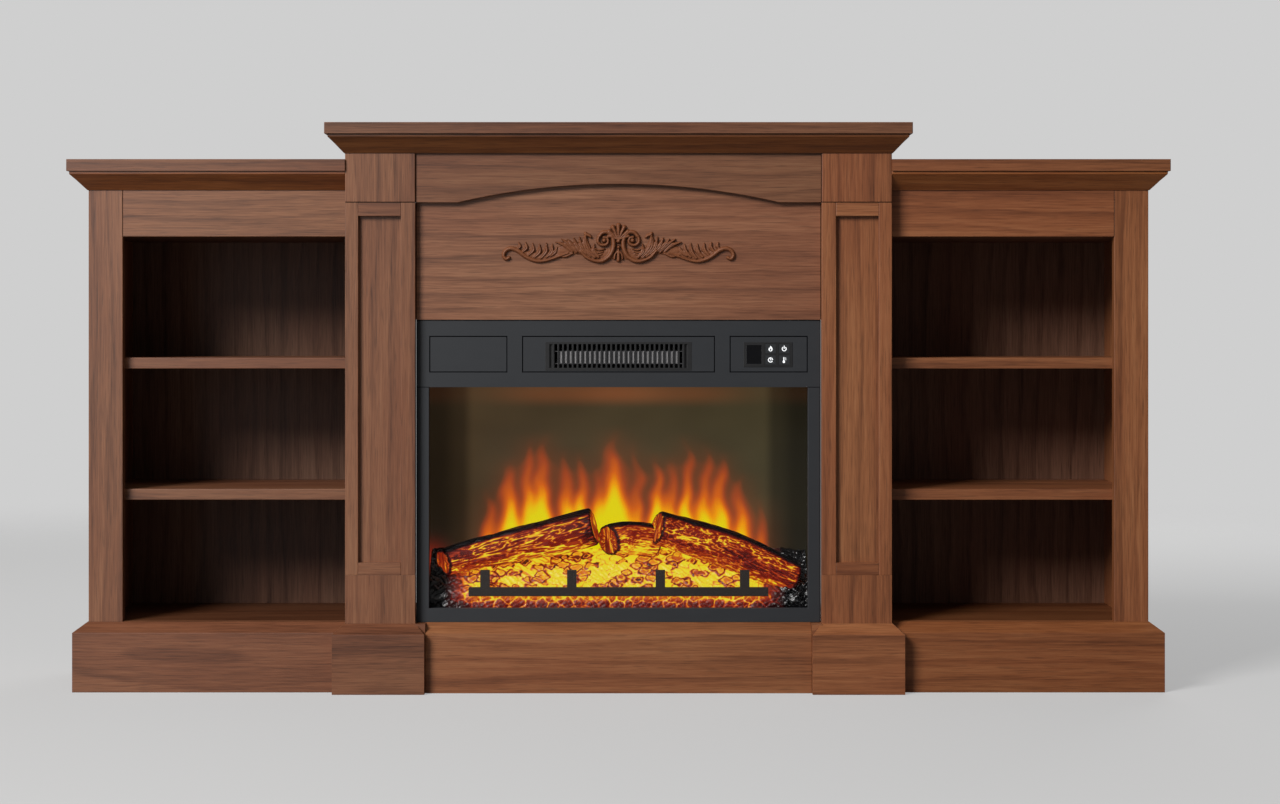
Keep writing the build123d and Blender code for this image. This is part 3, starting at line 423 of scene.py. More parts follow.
# Face frame: stile width and foot of the sill. Plinths: top of their upright face.
FACE_STILE_W, SILL_LOW = 56.0, 60.0
PLINTH_EDGE = 97.0
FILLER_SHY = 0.5  # how far a filler stays behind the boards round it
PILASTER_SEEDS = {"left": 50, "right": 60}
SIDES = (("left", -1), ("right", 1))
for hand, side in SIDES:
    seed = PILASTER_SEEDS[hand]
    shade = HAND_LIGHT_TONE[hand]
    grey = HAND_LIGHT_GREY[hand]

    # Pilaster: stiles, short rails, sunk panel, foot and cap block.
    py0, py1, pz0, pz1 = limits(f"{hand}_pilaster")[2:]
    near, far = off_centre(f"{hand}_pilaster")
    stile_in, stile_out = near + INNER_STILE_W, far - OUTER_STILE_W
    middle = across(side, stile_in, stile_out)
    whole = across(side, near, far)
    bm = bmesh.new()
    add_box(bm, *across(side, near, stile_in), py0, py1, RAIL_LOW, CAP_LOW, 0)
    add_box(bm, *across(side, stile_out, far), py0, py1, RAIL_LOW, CAP_LOW, 1)
    add_box(bm, *middle, py0, py1, RAIL_LOW, PANEL_LOW, 2)
    add_box(bm, *middle, py0, py1, PANEL_HIGH, CAP_LOW, 2)
    add_box(bm, *middle, py0 + PANEL_SUNK, py1, PANEL_LOW, PANEL_HIGH, 3, 0.0)
    add_box(bm, *whole, py0, py1, pz0, RAIL_LOW, 4, 0.5)
    add_box(bm, *whole, py0, py1, CAP_LOW, pz1, 5, 1.1)
    woods = [wood(axis, seed + k, shade, grey=grey) for k, axis in enumerate("zzxzzz")]
    finish_boards(f"{hand}_pilaster_boards", bm, woods, f"{hand}_pilaster")

    # Face frame: stile, top rail and sill.
    fy0, fy1, fz0, fz1 = limits(f"{hand}_face_frame")[2:]
    f_near, f_far = off_centre(f"{hand}_face_frame")
    stile = f_far - FACE_STILE_W
    rail_z = limits(f"{hand}_wing_ceiling")[4]
    floor_z = limits(f"{hand}_wing_floor")[5]
    bm = bmesh.new()
    add_box(bm, *across(side, stile, f_far), fy0, fy1, fz0, fz1, 0)
    add_box(bm, *across(side, f_near, stile), fy0, fy1, rail_z, fz1, 1)
    add_box(bm, *across(side, f_near, stile), fy0, fy1, SILL_LOW, floor_z, 1)
    woods = [wood("z", seed + 6, shade, grey=grey), wood("x", seed + 7, shade, grey=grey)]
    finish_boards(f"{hand}_face_boards", bm, woods, f"{hand}_face_frame")

    # Pedestal: three mitred boards round the pilaster's foot.
    qy0, qy1, _, qz1 = limits(f"{hand}_pedestal")[2:]
    q_near, q_far = off_centre(f"{hand}_pedestal")
    PLINTH_PROFILE = [(0.0, 0.0), (1.0, 0.0), (1.0, PLINTH_EDGE), (0.05, qz1), (0.0, qz1)]
    bm = bmesh.new()
    corner_runs(
        bm,
        [(side * far, qy1), (side * far, py0), (side * near, py0), (side * near, py1)],
        [(side * (q_far - far), 0), (0, qy0 - py0), (side * (q_near - near), 0)],
        PLINTH_PROFILE,
        0,
    )
    # A filler closes the corner between the pedestal's bevel and the end of the centre plinth.
    filler_y = limits("centre_plinth")[2] + FILLER_SHY
    add_box(bm, *across(side, q_near, near), filler_y, py1, PLINTH_EDGE, qz1 - FILLER_SHY, 1, 0.0)
    woods = [wood(axis, seed + k, shade, grey=grey) for axis, k in (("y", 8), ("x", 8), ("y", 9))]
    finish_boards(f"{hand}_pedestal_boards", bm, woods, f"{hand}_pedestal")

    # Wing plinth: a front board and a side return.
    wy0, wy1 = limits(f"{hand}_wing_plinth")[2:4]
    w_near, w_far = off_centre(f"{hand}_wing_plinth")
    bm = bmesh.new()
    corner_runs(
        bm,
        [(side * w_near, fy0), (side * f_far, fy0), (side * f_far, wy1)],
        [(0, wy0 - fy0), (side * (w_far - f_far), 0)],
        PLINTH_PROFILE,
        0,
        coped=side * (far - w_near),
    )
    woods = [wood("x", seed + 10, 1.02, grey=1.5 * grey), wood("y", seed + 11, shade, grey=grey)]
    finish_boards(f"{hand}_wing_plinth_boards", bm, woods, f"{hand}_wing_plinth")

    # Wing crown: a front run and a side return.
    cy0, cy1, cz0 = limits(f"{hand}_wing_crown")[2:5]
    c_near, c_far = off_centre(f"{hand}_wing_crown")
    profile = [(t, z - z0 + cz0) for t, z in CROWN_PROFILE]
    bm = bmesh.new()
    corner_runs(
        bm,
        [(side * c_near, fy0), (side * f_far, fy0), (side * f_far, cy1)],
        [(0, cy0 - fy0), (side * (c_far - f_far), 0)],
        profile,
        0,
    )
    woods = [wood("x", seed + 12, 1.05, grey=CROWN_GREY), wood("y", seed + 13, 1.05, grey=CROWN_GREY)]
    finish_boards(f"{hand}_wing_crown_runs", bm, woods, f"{hand}_wing_crown")

# Painted shade where boards meet: dark lines beside the pilasters, under the caps and at the stiles stand
# in for the shade in those joints.
JOINT_SHADE = painted("joint_shade_line", (0.010, 0.005, 0.003), 0.8, 500.0, spec=0.02)
JOINT_W, JOINT_T = 1.1, 0.1  # width, and how far a line stands off the boards
JOINT_SUNK = 0.4  # how far a line reaches into the boards
JOINT_GAP = 0.05  # between a line and the pilaster beside it
JOINT_END = 0.5  # how far a line stops short of a board's end
arch_lim, panel_lim = limits("arch_board"), limits("centre_panel")
bm = bmesh.new()


def joint_shade_line(xs, face, z0, z1, sunk=JOINT_SUNK, stand=JOINT_T):
    """A dark line on a board whose front face lies at Y = face."""
    add_box(bm, *xs, face - stand, face + sunk, z0, z1, 0, 0.0)


for hand, side in SIDES:
    near, far = off_centre(f"{hand}_pilaster")
    beside = across(side, near - JOINT_W - JOINT_GAP, near - JOINT_GAP)
    joint_shade_line(beside, arch_lim[2], arch_lim[4] + JOINT_END, arch_lim[5] - JOINT_END)
    joint_shade_line(beside, panel_lim[2], panel_lim[4] + JOINT_END, arch_lim[4] - JOINT_END)
    under_cap = across(side, near + JOINT_SUNK, far - JOINT_SUNK)
    joint_shade_line(under_cap, limits(f"{hand}_pilaster")[2], CAP_LOW - 0.6, CAP_LOW + 0.8)
    fy0, _, _, fz1 = limits(f"{hand}_face_frame")[2:]
    stile = off_centre(f"{hand}_face_frame")[1] - FACE_STILE_W
    rail_z = limits(f"{hand}_wing_ceiling")[4]
    joint_shade_line(across(side, stile - 0.5, stile + 0.3), fy0, rail_z, fz1 - JOINT_END, 0.3, 0.06)
finish_mesh("joint_shade_lines", bm, [JOINT_SHADE])

# ------------------------------------------------------------ carved applique
PITCH = 0.6  # mm between the carving's grid points
CARVE_HALF_W, CARVE_LOW, CARVE_HIGH = 196.0, -42.0, 30.0
CARVE_MIDDLE = 34.5  # height of the volutes' centres over the carving's foot
GROOVE_DEPTH = 0.26  # share of a ridge's height
CARVE_MIN = 0.25  # lower relief than this is left out
CARVE_TOOLED = 0.10  # unevenness left by the tools
_, _, ay0, ay1, az0, _ = limits("carved_applique")
gx = np.arange(0.0, CARVE_HALF_W + PITCH, PITCH)
gz = np.arange(CARVE_LOW, CARVE_HIGH + PITCH, PITCH)
GX, GZ = np.meshgrid(gx, gz)
relief = np.zeros_like(GX)


def curve_points(points, count=60):
    """Smooth points through a few control points (Catmull-Rom)."""
    p = np.array(points, float)
    p = np.vstack([2 * p[0] - p[1], p, 2 * p[-1] - p[-2]])
    made = []
    for i in range(1, len(p) - 2):
        t = np.linspace(0, 1, max(4, count // (len(p) - 3)), endpoint=False)[:, None]
        a, b, c, d = p[i - 1], p[i], p[i + 1], p[i + 2]
        slope = (c - a) * t
        bow = (2 * a - 5 * b + 4 * c - d) * t**2
        swing = (3 * b - a - 3 * c + d) * t**3
        made.append(0.5 * (2 * b + slope + bow + swing))
    made.append(p[-2][None])
    return np.vstack(made)


def stroke(points, width, height, grooves=0, start=1.0, end=1.0, middle=1.0, lift=0.0):
    """Raises a rounded ridge along a curve; widths run start, middle, end as shares of width."""
    global relief
    pts = curve_points(points)
    best = np.full(GX.shape, 1e9)
    share = np.zeros(GX.shape)
    offset = np.zeros(GX.shape)
    total = len(pts) - 1
    for i in range(total):
        a, b = pts[i], pts[i + 1]
        ab = b - a
        length = max(np.hypot(*ab), 1e-6)
        t = np.clip(((GX - a[0]) * ab[0] + (GZ - a[1]) * ab[1]) / length**2, 0, 1)
        dx, dz = GX - (a[0] + t * ab[0]), GZ - (a[1] + t * ab[1])
        d = np.hypot(dx, dz)
        closer = d < best
        best = np.where(closer, d, best)
        share = np.where(closer, (i + t) / total, share)
        offset = np.where(closer, (ab[0] * dz - ab[1] * dx) / length, offset)
    w = width * np.interp(share, [0, 0.5, 1], [start, middle, end])
    inside = np.clip(1 - (best / np.maximum(w, 1e-3)) ** 2, 0, 1)
    h = height * np.sqrt(inside) + lift * (inside > 0)
    if grooves:
        wave = np.cos(2 * math.pi * grooves * offset / np.maximum(w, 1e-3))
        h *= 1 - GROOVE_DEPTH * (inside > 0) * (0.5 + 0.5 * wave)
    relief = np.maximum(relief, h)


def leaf(base, tip, bend, width, height, grooves=1):
    """A pointed leaf from base to tip, bowed sideways by bend."""
    b, t = np.array(base, float), np.array(tip, float)
    run = t - b
    mid = (b + t) / 2 + bend * np.array([-run[1], run[0]])
    stroke([b, mid, t], width, height, grooves, 0.55, 0.12, 1.0)


def bead(x, z, r, height):
    """A domed bead."""
    global relief
    d = np.hypot(GX - x, GZ - z) / r
    relief = np.maximum(relief, height * np.sqrt(np.clip(1 - d**2, 0, 1)))


# Ground under the leaves, then leaves, scrolls, volute and shell over it, all in millimetres.
stroke([(13, -23), (36, -24.5), (65.5, -14.5), (95, -19.5)], 9.0, 2.4)
stroke([(98, -23), (124.5, -28), (150.5, -23), (170, -14.5)], 6.9, 2.2, 0, 1, 0.3)
# Leaves as base X and Z, tip X and Z, bend as a share of the length, and width.
INNER_LEAVES = (
    (39.5, -28, 54, 11.5, -0.16, 7.5),
    (46, -26, 64, 5, -0.14, 6.2),
    (54, -23, 73.5, 3.5, -0.10, 5.6),
    (62, -19.5, 83.5, 1.5, -0.05, 5.2),
    (68.5, -19.5, 93.5, 1.5, 0.05, 4.9),
    (75.5, -19.5, 103, -3.5, 0.10, 4.3),
    (32.5, -28, 39.5, -6.5, -0.2, 5.2),
)
OUTER_LEAVES = (
    (118, -28, 108, -6.5, 0.15, 4.3),
    (127.5, -29.5, 118, -5, 0.15, 4.6),
    (137.5, -28, 129.5, -6.5, 0.18, 4.6),
    (147.5, -24.5, 140.5, -5, 0.20, 4.4),
    (157, -19.5, 152, -3.5, 0.22, 4.1),
    (165.5, -15.5, 163.5, -3.5, 0.24, 3.4),
    (111.5, -26, 100, -11.5, 0.10, 3.9),
)
for leaves, rise, grooves in ((INNER_LEAVES, 5.6, 2), (OUTER_LEAVES, 4.8, 1)):
    for bx, bz, tx, tz, bend, w in leaves:
        leaf((bx, bz), (tx, tz), bend, w, rise, grooves)
leaf((75.5, -21.5), (101.5, -24.5), -0.10, 4.3, 4.6, 1)
stroke([(54, 10.5), (51.5, 8.5), (47.5, 7), (45, 4.5)], 2.9, 5.4, 0, 1.0, 0.7)
# S-scroll with its end curl.
stroke(
    [
        (82, -21.5), (98, -27), (118, -33.5), (134, -34.5), (150.5, -28), (165.5, -17),
        (176.5, -14), (185, -18), (188, -25.5), (184, -31), (179, -29),
    ],
    3.1, 5.4, 0, 0.5, 0.9, 1.25,
)
# C-scroll from the leaf's foot round to the volute.
stroke(
    [
        (62, -18), (50.5, -29.5), (31, -35), (15.5, -27), (8.5, -12.5),
        (9, 2.5), (16.5, 12), (25.5, 12), (31.5, 6),
    ],
    3.8, 6.6, 0, 0.6, 0.9, 1.15,
)
stroke(
    [(32.5, 5), (33.5, -2.5), (28.5, -8), (21.5, -8), (17, -3.5), (18.5, 3), (24, 4.5)],
    2.9, 6.2, 0, 1.0, 0.9,
)
bead(23.2, -1.1, 4.1, 7.4)
for k in range(3):
    rib = [(23 + 2 * k, -14.7 - 4.3 * k), (31 + 1.6 * k, -16.4 - 4.3 * k), (39.3, -13.7 - 3.9 * k)]
    stroke(rib, 1.8, 4.4, 0, 0.7, 0.4)
# Shell rays, beads and drop on the centre line.
for angle, reach, w in ((90, 23.6, 3.8), (66, 22.6, 3.6), (42, 20.6, 3.3), (20, 17.4, 2.8)):
    c, sn = math.cos(math.radians(angle)), math.sin(math.radians(angle))
    ray = [(2 * c, 0.8), (0.55 * reach * c, 0.55 * reach * sn + 0.6), (reach * c, reach * sn)]
    stroke(ray, w, 6.8, 0, 0.35, 1.15, 0.85)
bead(0, -2, 4.1, 7.8)
bead(0, -11.8, 3.1, 6.4)
stroke([(0, -15.5), (0, -23), (0, -33.5)], 3.1, 5.6, 0, 0.6, 1.0)
stroke([(1, -18), (5.5, -23.5), (6.5, -31)], 2.1, 4.8, 0, 0.7, 0.8)

centre_z = az0 + CARVE_MIDDLE
rng = np.random.default_rng(5)
relief = np.where(relief > CARVE_MIN, relief + CARVE_TOOLED * rng.standard_normal(relief.shape), 0.0)
relief = np.minimum(relief, ay1 - ay0)
full = np.hstack([relief[:, :0:-1], relief])
xs = np.concatenate([-gx[:0:-1], gx])
bm = bmesh.new()
index = {}
rows, cols = full.shape
solid = full > CARVE_MIN
grown = solid.copy()
for dr in (-1, 0, 1):
    for dc in (-1, 0, 1):
        grown |= np.roll(np.roll(solid, dr, 0), dc, 1)
for r in range(rows - 1):
    for c in range(cols - 1):
        if grown[r : r + 2, c : c + 2].all() and solid[r : r + 2, c : c + 2].any():
            corners = []
            for rr, cc in ((r, c), (r, c + 1), (r + 1, c + 1), (r + 1, c)):
                if (rr, cc) not in index:
                    index[rr, cc] = bm.verts.new((xs[cc], ay1 - full[rr, cc], centre_z + gz[rr]))
                corners.append(index[rr, cc])
            bm.faces.new(corners)
bmesh.ops.smooth_vert(bm, verts=bm.verts, factor=0.5, use_axis_x=True, use_axis_y=True, use_axis_z=True)
carving = Shader("carved_wood")
depth_mix = carving.noise(carving.scaled((60, 400, 400)), 1.0, 3.0, 0.6)
# The carving is darker in its hollows, from an ambient-occlusion mask.
cavity = carving.add("AmbientOcclusion", {"Distance": 0.006}, samples=8).outputs["AO"]
tone = carving.ramp(depth_mix, [(0.3, (0.150, 0.046, 0.017)), (0.7, (0.225, 0.080, 0.032))])
hollow_dark = carving.ramp(cavity, [(0.25, 0.32), (0.85, 1.0)])
carving.set(Base_Color=carving.mix(1.0, tone, hollow_dark, "MULTIPLY"), Roughness=0.46)
carving.fix("Specular IOR Level", 0.25)
carving.bump(depth_mix, 0.0002, 0.4)
finish_mesh(
    "applique_carving", bm, [carving.mat], smooth=1.2, replaces=["carved_applique"]
)

# --------------------------------------------------- insert, carried-over nodes
# The nodes of each material, each with the width in millimetres of its eased edges.
INSERT_LOOKS = (
    (CHARCOAL, {"top_fascia": 0.35, "lower_trim_frame": 0.6}),
    (BLACK_PLASTIC, {"vent_grille": 0.25, "control_panel": 0.3, "cord_gland": 0.5}),
    (DISPLAY, {"display_window": 0.3}),
    (KEY_PLASTIC, {f"{key}_button": 0.4 for key in ("flame", "power", "timer", "heat")}),
    (BOARD_GREEN, {"control_board": 0.1, "led_strips": 0.1}),
    (SHEET_STEEL, {"firebox_casing": 0.0, "blower_housing": 0.0}),
    (ZINC, {"fixing_screws": 0.3, "spindle_motor": 1.2, "blower_motor": 0.8, "flame_spindle": 0.0}),
    (GRATE_IRON, {"grate": 0.7}),
    (DARK_STEEL, {"blower_impeller": 0.0}),
)
for mat, widths in INSERT_LOOKS:
    for node, width in widths.items():
        dress(node, mat, width)

# Light grey folded fins of the heater, seen through the middle of the vent's slots, with a faint painted
# glow for light that can't reach them.
FIN_COUNT, FIN_PITCH, FIN_HALF = 29, 7.9, 1.75
FIN_FRONT, FIN_WALL = -109.5, 0.45
FIN_SHY = 1.0  # how far the fins stay inside the plates over and under them
PLATE_SHY = 1.5  # how far those plates stay behind the fins' fronts
hx0, hx1, _, hy1, hz0, hz1 = limits("heating_element")
# Painted light: a faint emission makes the fins glow.
fin_glow_bsdf = FINS.node_tree.nodes["Principled BSDF"]
fin_glow_bsdf.inputs["Emission Color"].default_value = (0.9, 0.92, 1.0, 1)
fin_glow_bsdf.inputs["Emission Strength"].default_value = 0.02
bm = bmesh.new()
fin_z = (hz0 + FIN_SHY, hz1 - FIN_SHY)
for k in range(FIN_COUNT):
    x = (k - (FIN_COUNT - 1) / 2) * FIN_PITCH
    if abs(x) + FIN_HALF > hx1:
        continue
    add_box(bm, x - FIN_HALF, x - FIN_HALF + FIN_WALL, FIN_FRONT, hy1, *fin_z, 0, 0.0)
    add_box(bm, x + FIN_HALF - FIN_WALL, x + FIN_HALF, FIN_FRONT, hy1, *fin_z, 0, 0.0)
    add_box(bm, x - FIN_HALF, x + FIN_HALF, FIN_FRONT - FIN_WALL, FIN_FRONT, *fin_z, 0, 0.2)
for z in (hz0, hz1 - FIN_SHY):
    add_box(bm, hx0, hx1, FIN_FRONT + PLATE_SHY, hy1, z, z + FIN_SHY, 0, 0.2)
finish_mesh("heater_fins", bm, [FINS], replaces=["heating_element"])

# Dark cheeks beside the fins close the view through the vent to the casing's back: dark sheets that paint
# the shade at the vent's ends.
CHEEK_IN, CHEEK_OUT, CHEEK_T = 0.5, 13.0, 1.0
CHEEK_DOWN, CHEEK_UP = 8.0, 13.0
bm = bmesh.new()
for side in (-1, 1):
    xs = across(side, hx1 + CHEEK_IN, hx1 + CHEEK_OUT)
    add_box(bm, *xs, FIN_FRONT, FIN_FRONT + CHEEK_T, hz0 - CHEEK_DOWN, hz1 + CHEEK_UP, 0, 0.2)
finish_mesh("heater_shade_cheeks", bm, [SHEET_STEEL])

# Shadow lines: round the fascia's sunk panels and where the fascia meets the lower trim.
LINE = painted("shadow_line", (0.003, 0.003, 0.004), 0.7, 500.0, spec=0.02)
LINE_W, LINE_T = 1.7, 0.12
INSETS = ((-310.0, -182.0), (-158.0, 158.0), (182.0, 310.0))
INSET_Z = (522.0, 582.0)
INSET_SUNK = 1.2
SEAM_IN, SEAM_HALF = 310.4, 0.5  # where the seam starts off the centre, and half its height
fasc_y = limits("top_fascia")[2]
line_y = fasc_y + INSET_SUNK - LINE_T
bm = bmesh.new()
for a, b in INSETS:
    lo, hi = INSET_Z
    for left, right, low, high in (
        (a, b, lo, lo + LINE_W),
        (a, b, hi - LINE_W, hi),
        (a, a + LINE_W, lo + LINE_W, hi - LINE_W),
        (b - LINE_W, b, lo + LINE_W, hi - LINE_W),
    ):
        add_box(bm, left, right, line_y, line_y + LINE_T, low, high, 0, 0.0)
seam_z = limits("top_fascia")[4]
for side in (-1, 1):
    xs = across(side, SEAM_IN, limits("lower_trim_frame")[1])
    add_box(bm, *xs, fasc_y - LINE_T, fasc_y + SEAM_HALF, seam_z - SEAM_HALF, seam_z + SEAM_HALF, 0, 0.0)
finish_mesh("fascia_shadow_lines", bm, [LINE])

# Painted shade: a dark filler in the gap between the insert's trim and the wooden surround stands in for
# the shade deep in that gap.
GAP_SHADE = painted("gap_shade_filler", (0.010, 0.010, 0.011), 0.85, 600.0, 0.0003)
GAP_SHADE_FRONT, GAP_SHADE_BACK = -111.0, -103.0
GAP_SHADE_PLAY = 0.05
tx0, tx1, _, _, tz0, _ = limits("lower_trim_frame")
tz1 = limits("top_fascia")[5]
gap_x = limits("right_pilaster")[0]
gap_z = limits("centre_panel")[4]
bm = bmesh.new()
for side in (-1, 1):
    xs = across(side, tx1 + GAP_SHADE_PLAY, gap_x - GAP_SHADE_PLAY)
    add_box(bm, *xs, GAP_SHADE_FRONT, GAP_SHADE_BACK, tz0 + GAP_SHADE_PLAY, gap_z - GAP_SHADE_PLAY, 0, 0.3)
add_box(bm, tx0, tx1, GAP_SHADE_FRONT, GAP_SHADE_BACK, tz1 + GAP_SHADE_PLAY, gap_z - GAP_SHADE_PLAY, 0, 0.3)
finish_mesh("gap_shade_strips", bm, [GAP_SHADE])

# ----------------------------------------------------------------------- glass
glass = Shader("clear_pane")
smear = glass.noise(glass.scaled((3, 1, 9)), 1.0, 3.0, 0.6)
smeared = glass.math("MULTIPLY_ADD", smear, 0.04, 0.01)
sheet = glass.add("BsdfGlossy", {"Color": (1, 1, 1, 1), "Roughness": smeared})
tint = glass.ramp(smear, [(0.2, 0.96), (0.8, 0.985)])
clear = glass.add("BsdfTransparent", {"Color": tint})
edge = glass.add("Fresnel", {"IOR": 1.45}).outputs[0]
share = glass.math("MULTIPLY", edge, 0.16)
pane = glass.add("MixShader", {0: share, 1: clear.outputs[0], 2: sheet.outputs[0]})
glass.nt.links.new(pane.outputs[0], glass.out.inputs["Surface"])
dress("glass_front", glass.mat, 0.3)

# ---------------------------------------------------------------- flame screen
# Tongues of flame as X, top Z and half width in millimetres, and strength.
TONGUES = (
    (-219, 303, 13, 0.62),
    (-183, 352, 17, 1.12),
    (-152, 388, 13, 0.80),
    (-128, 396, 15, 0.95),
    (-140, 300, 26, 0.75),
    (-88, 368, 13, 0.82),
    (-60, 366, 12, 0.72),
    (-74, 300, 24, 0.75),
    (-36, 340, 11, 0.45),
    (-8, 402, 20, 1.05),
    (-14, 330, 34, 0.85),
    (8, 300, 30, 0.70),
    (31, 384, 12, 0.50),
    (64, 362, 12, 0.80),
    (88, 356, 13, 0.85),
    (76, 300, 24, 0.70),
    (115, 392, 11, 0.72),
    (146, 378, 13, 0.80),
    (130, 300, 26, 0.85),
    (172, 362, 16, 1.15),
    (207, 326, 15, 1.05),
    (241, 286, 11, 0.55),
)
SCREEN_STEP = 2.2
SCREEN_INSET = 0.6
sx0, sx1, sy0, sy1, sz0, sz1 = limits("flame_screen")
cols = int((sx1 - sx0) / SCREEN_STEP)
rows = int((sz1 - sz0) / SCREEN_STEP)
xs = np.linspace(sx0 + SCREEN_INSET, sx1 - SCREEN_INSET, cols)
zs = np.linspace(sz0 + SCREEN_INSET, sz1 - SCREEN_INSET, rows)
SX, SZ = np.meshgrid(xs, zs)


def log_line(x):
    """Height that the flames rise from: just over the logs."""
    return np.interp(x, [-300, -240, -40, -10, 40, 70, 250, 300], [190, 222, 268, 240, 240, 262, 200, 170])


def field(grid_x, grid_z, kx, kz, seed):
    """Smooth noise in -1..1 over a grid, from a sum of turned waves."""
    r = np.random.default_rng(seed)
    total = np.zeros_like(grid_x)
    for _ in range(9):
        a = r.uniform(0.5, 1.6)
        b = r.uniform(0.5, 1.6) * r.choice((-1, 1))
        total += np.sin(grid_x * kx * a + grid_z * kz * b + r.uniform(0, 6.28))
    return total / 3.6


# Strength of a tongue at shares of its height.
TONGUE_FADE = ([0, 0.28, 0.45, 0.62, 0.82, 1.0], [1.35, 1.16, 0.72, 0.37, 0.16, 0.0])
warp = 5.0 * field(SX, SZ, 0.012, 0.045, 3) + 2.2 * field(SX, SZ, 0.03, 0.10, 4)
heat = np.zeros_like(SX)
for tx, top, half_w, power in TONGUES:
    low = log_line(np.array(float(tx))) - 40
    u = np.clip((SZ - low) / (top + 24 - low), 0, 1)
    amount = np.clip(warp * np.clip((SZ - low) / 120, 0, 1.3), -14, 14)
    w = half_w * (0.40 + 0.80 * (1 - u) ** 0.8)
    body = np.exp(-np.abs((SX - tx - amount) / w) ** 2.2)
    heat += power * body * np.interp(u, *TONGUE_FADE)
halo = np.zeros_like(SX)
for tx, top, half_w, power in TONGUES:
    rise = np.clip((top + 30 - SZ) / 90, 0, 1)
    halo += 0.20 * power * np.exp(-(((SX - tx) / 30) ** 2)) * rise
heat *= 1.0 + 0.16 * field(SX, SZ, 0.16, 0.02, 6)
heat = 0.87 * heat + np.minimum(halo, 0.15)
glow_corner = np.exp(-(((SX + 318) / 26) ** 2) - ((SZ - 205) / 24) ** 2)
heat = np.clip(heat, 0, 1.25) / 1.25
bm = bmesh.new()
front = [[bm.verts.new((x, sy0, z)) for x in xs] for z in zs]
for r in range(rows - 1):
    for c in range(cols - 1):
        bm.faces.new((front[r][c], front[r][c + 1], front[r + 1][c + 1], front[r + 1][c]))
rim = front[0] + [row[-1] for row in front[1:]] + front[-1][-2::-1] + [row[0] for row in front[-2:0:-1]]
back = [bm.verts.new((v.co.x, sy1, v.co.z)) for v in rim]
for i in range(len(rim)):
    j = (i + 1) % len(rim)
    bm.faces.new((rim[i], back[i], back[j], rim[j]))
bm.faces.new(back)
heat_values = np.concatenate([heat.ravel(), np.zeros(len(rim))])
red_values = np.concatenate([glow_corner.ravel(), np.zeros(len(rim))])


def store(ob, name, values):
    """Keeps one number for each vertex of a piece, for its material to read."""
    made = ob.data.attributes.new(name, "FLOAT", "POINT")
    made.data.foreach_set("value", np.ascontiguousarray(values, dtype=np.float32))


SCREEN_HALF_W, SCREEN_TOP = 0.32, 0.506  # of the lit picture, in metres
fire = Shader("flame_screen_lit")
level = fire.add("Attribute", attribute_name="flame_level").outputs["Fac"]
corner = fire.add("Attribute", attribute_name="corner").outputs["Fac"]
where = fire.add("SeparateXYZ", {0: fire.place}).outputs
grain = fire.noise(fire.scaled((260, 1, 60)), 1.0, 2.0, 0.6)
cloud = fire.noise(fire.scaled((5, 1, 9)), 1.0, 2.0, 0.5)
side = fire.math("ABSOLUTE", where[0])
out_share = fire.math("DIVIDE", side, SCREEN_HALF_W)
dim_sides = [(0.0, 1.0), (0.76, 0.95), (0.83, 0.42), (0.94, 0.22)]
shade = fire.ramp(out_share, dim_sides, "EASE")
left_to_right = fire.math("MULTIPLY_ADD", where[0], 1.4, 0.5)
hue = fire.ramp(left_to_right, [(0.1, (0.060, 0.037, 0.017)), (0.9, (0.055, 0.044, 0.020))])
mottle = fire.ramp(cloud, [(0.3, 0.85), (0.7, 1.15)])
backdrop = fire.mix(1.0, fire.mix(1.0, hue, shade, "MULTIPLY"), mottle, "MULTIPLY")
up_screen = fire.math("DIVIDE", where[2], SCREEN_TOP)
top_band = fire.ramp(up_screen, [(0.905, 0.0), (0.955, 0.75), (0.99, 0.55)], "EASE")
mid_band = fire.ramp(out_share, [(0.0, 1.0), (0.35, 0.62), (0.8, 0.10)], "EASE")
band = fire.mix(1.0, top_band, mid_band, "MULTIPLY")
backdrop = fire.mix(1.0, backdrop, fire.mix(1.0, band, (0.165, 0.030, 0.006, 1), "MULTIPLY"), "ADD")
streaked = fire.math("MULTIPLY", level, fire.math("MULTIPLY_ADD", grain, 0.10, 0.95))
flame = fire.ramp(
    streaked,
    [
        (0.0, (0.0, 0.0, 0.0)),
        (0.10, (0.055, 0.008, 0.001)),
        (0.24, (0.31, 0.034, 0.002)),
        (0.40, (0.63, 0.108, 0.001)),
        (0.56, (0.84, 0.30, 0.001)),
        (0.72, (0.80, 0.52, 0.002)),
        (0.92, (0.76, 0.64, 0.003)),
    ],
)
cover = fire.math("MULTIPLY", level, 1.9, clamp=True)
lit = fire.mix(1.0, fire.mix(cover, backdrop, (0, 0, 0, 1)), flame, "ADD")
corner_grey = fire.add("CombineColor", {0: corner, 1: corner, 2: corner}).outputs[0]
corner_red = fire.mix(1.0, corner_grey, (0.22, 0.008, 0.003, 1), "MULTIPLY")
fire.set(Base_Color=(0.004, 0.004, 0.003, 1), Emission_Color=fire.mix(1.0, lit, corner_red, "ADD"))
fire.set(Roughness=fire.math("MULTIPLY_ADD", grain, 0.1, 0.55))
fire.fix("Emission Strength", 1.0)
fire.fix("Specular IOR Level", 0.1)
screen = finish_mesh("flame_picture_screen", bm, [fire.mat], replaces=["flame_screen"])
store(screen, "flame_level", heat_values)
store(screen, "corner", red_values)

# ------------------------------------------------------------- embers and logs
EMBER_STOPS = [
    (0.0, (0.0, 0.0, 0.0)),
    (0.16, (0.035, 0.002, 0.002)),
    (0.34, (0.20, 0.009, 0.003)),
    (0.50, (0.42, 0.045, 0.006)),
    (0.66, (0.72, 0.20, 0.010)),
    (0.79, (0.80, 0.42, 0.012)),
    (0.92, (0.78, 0.64, 0.020)),
]


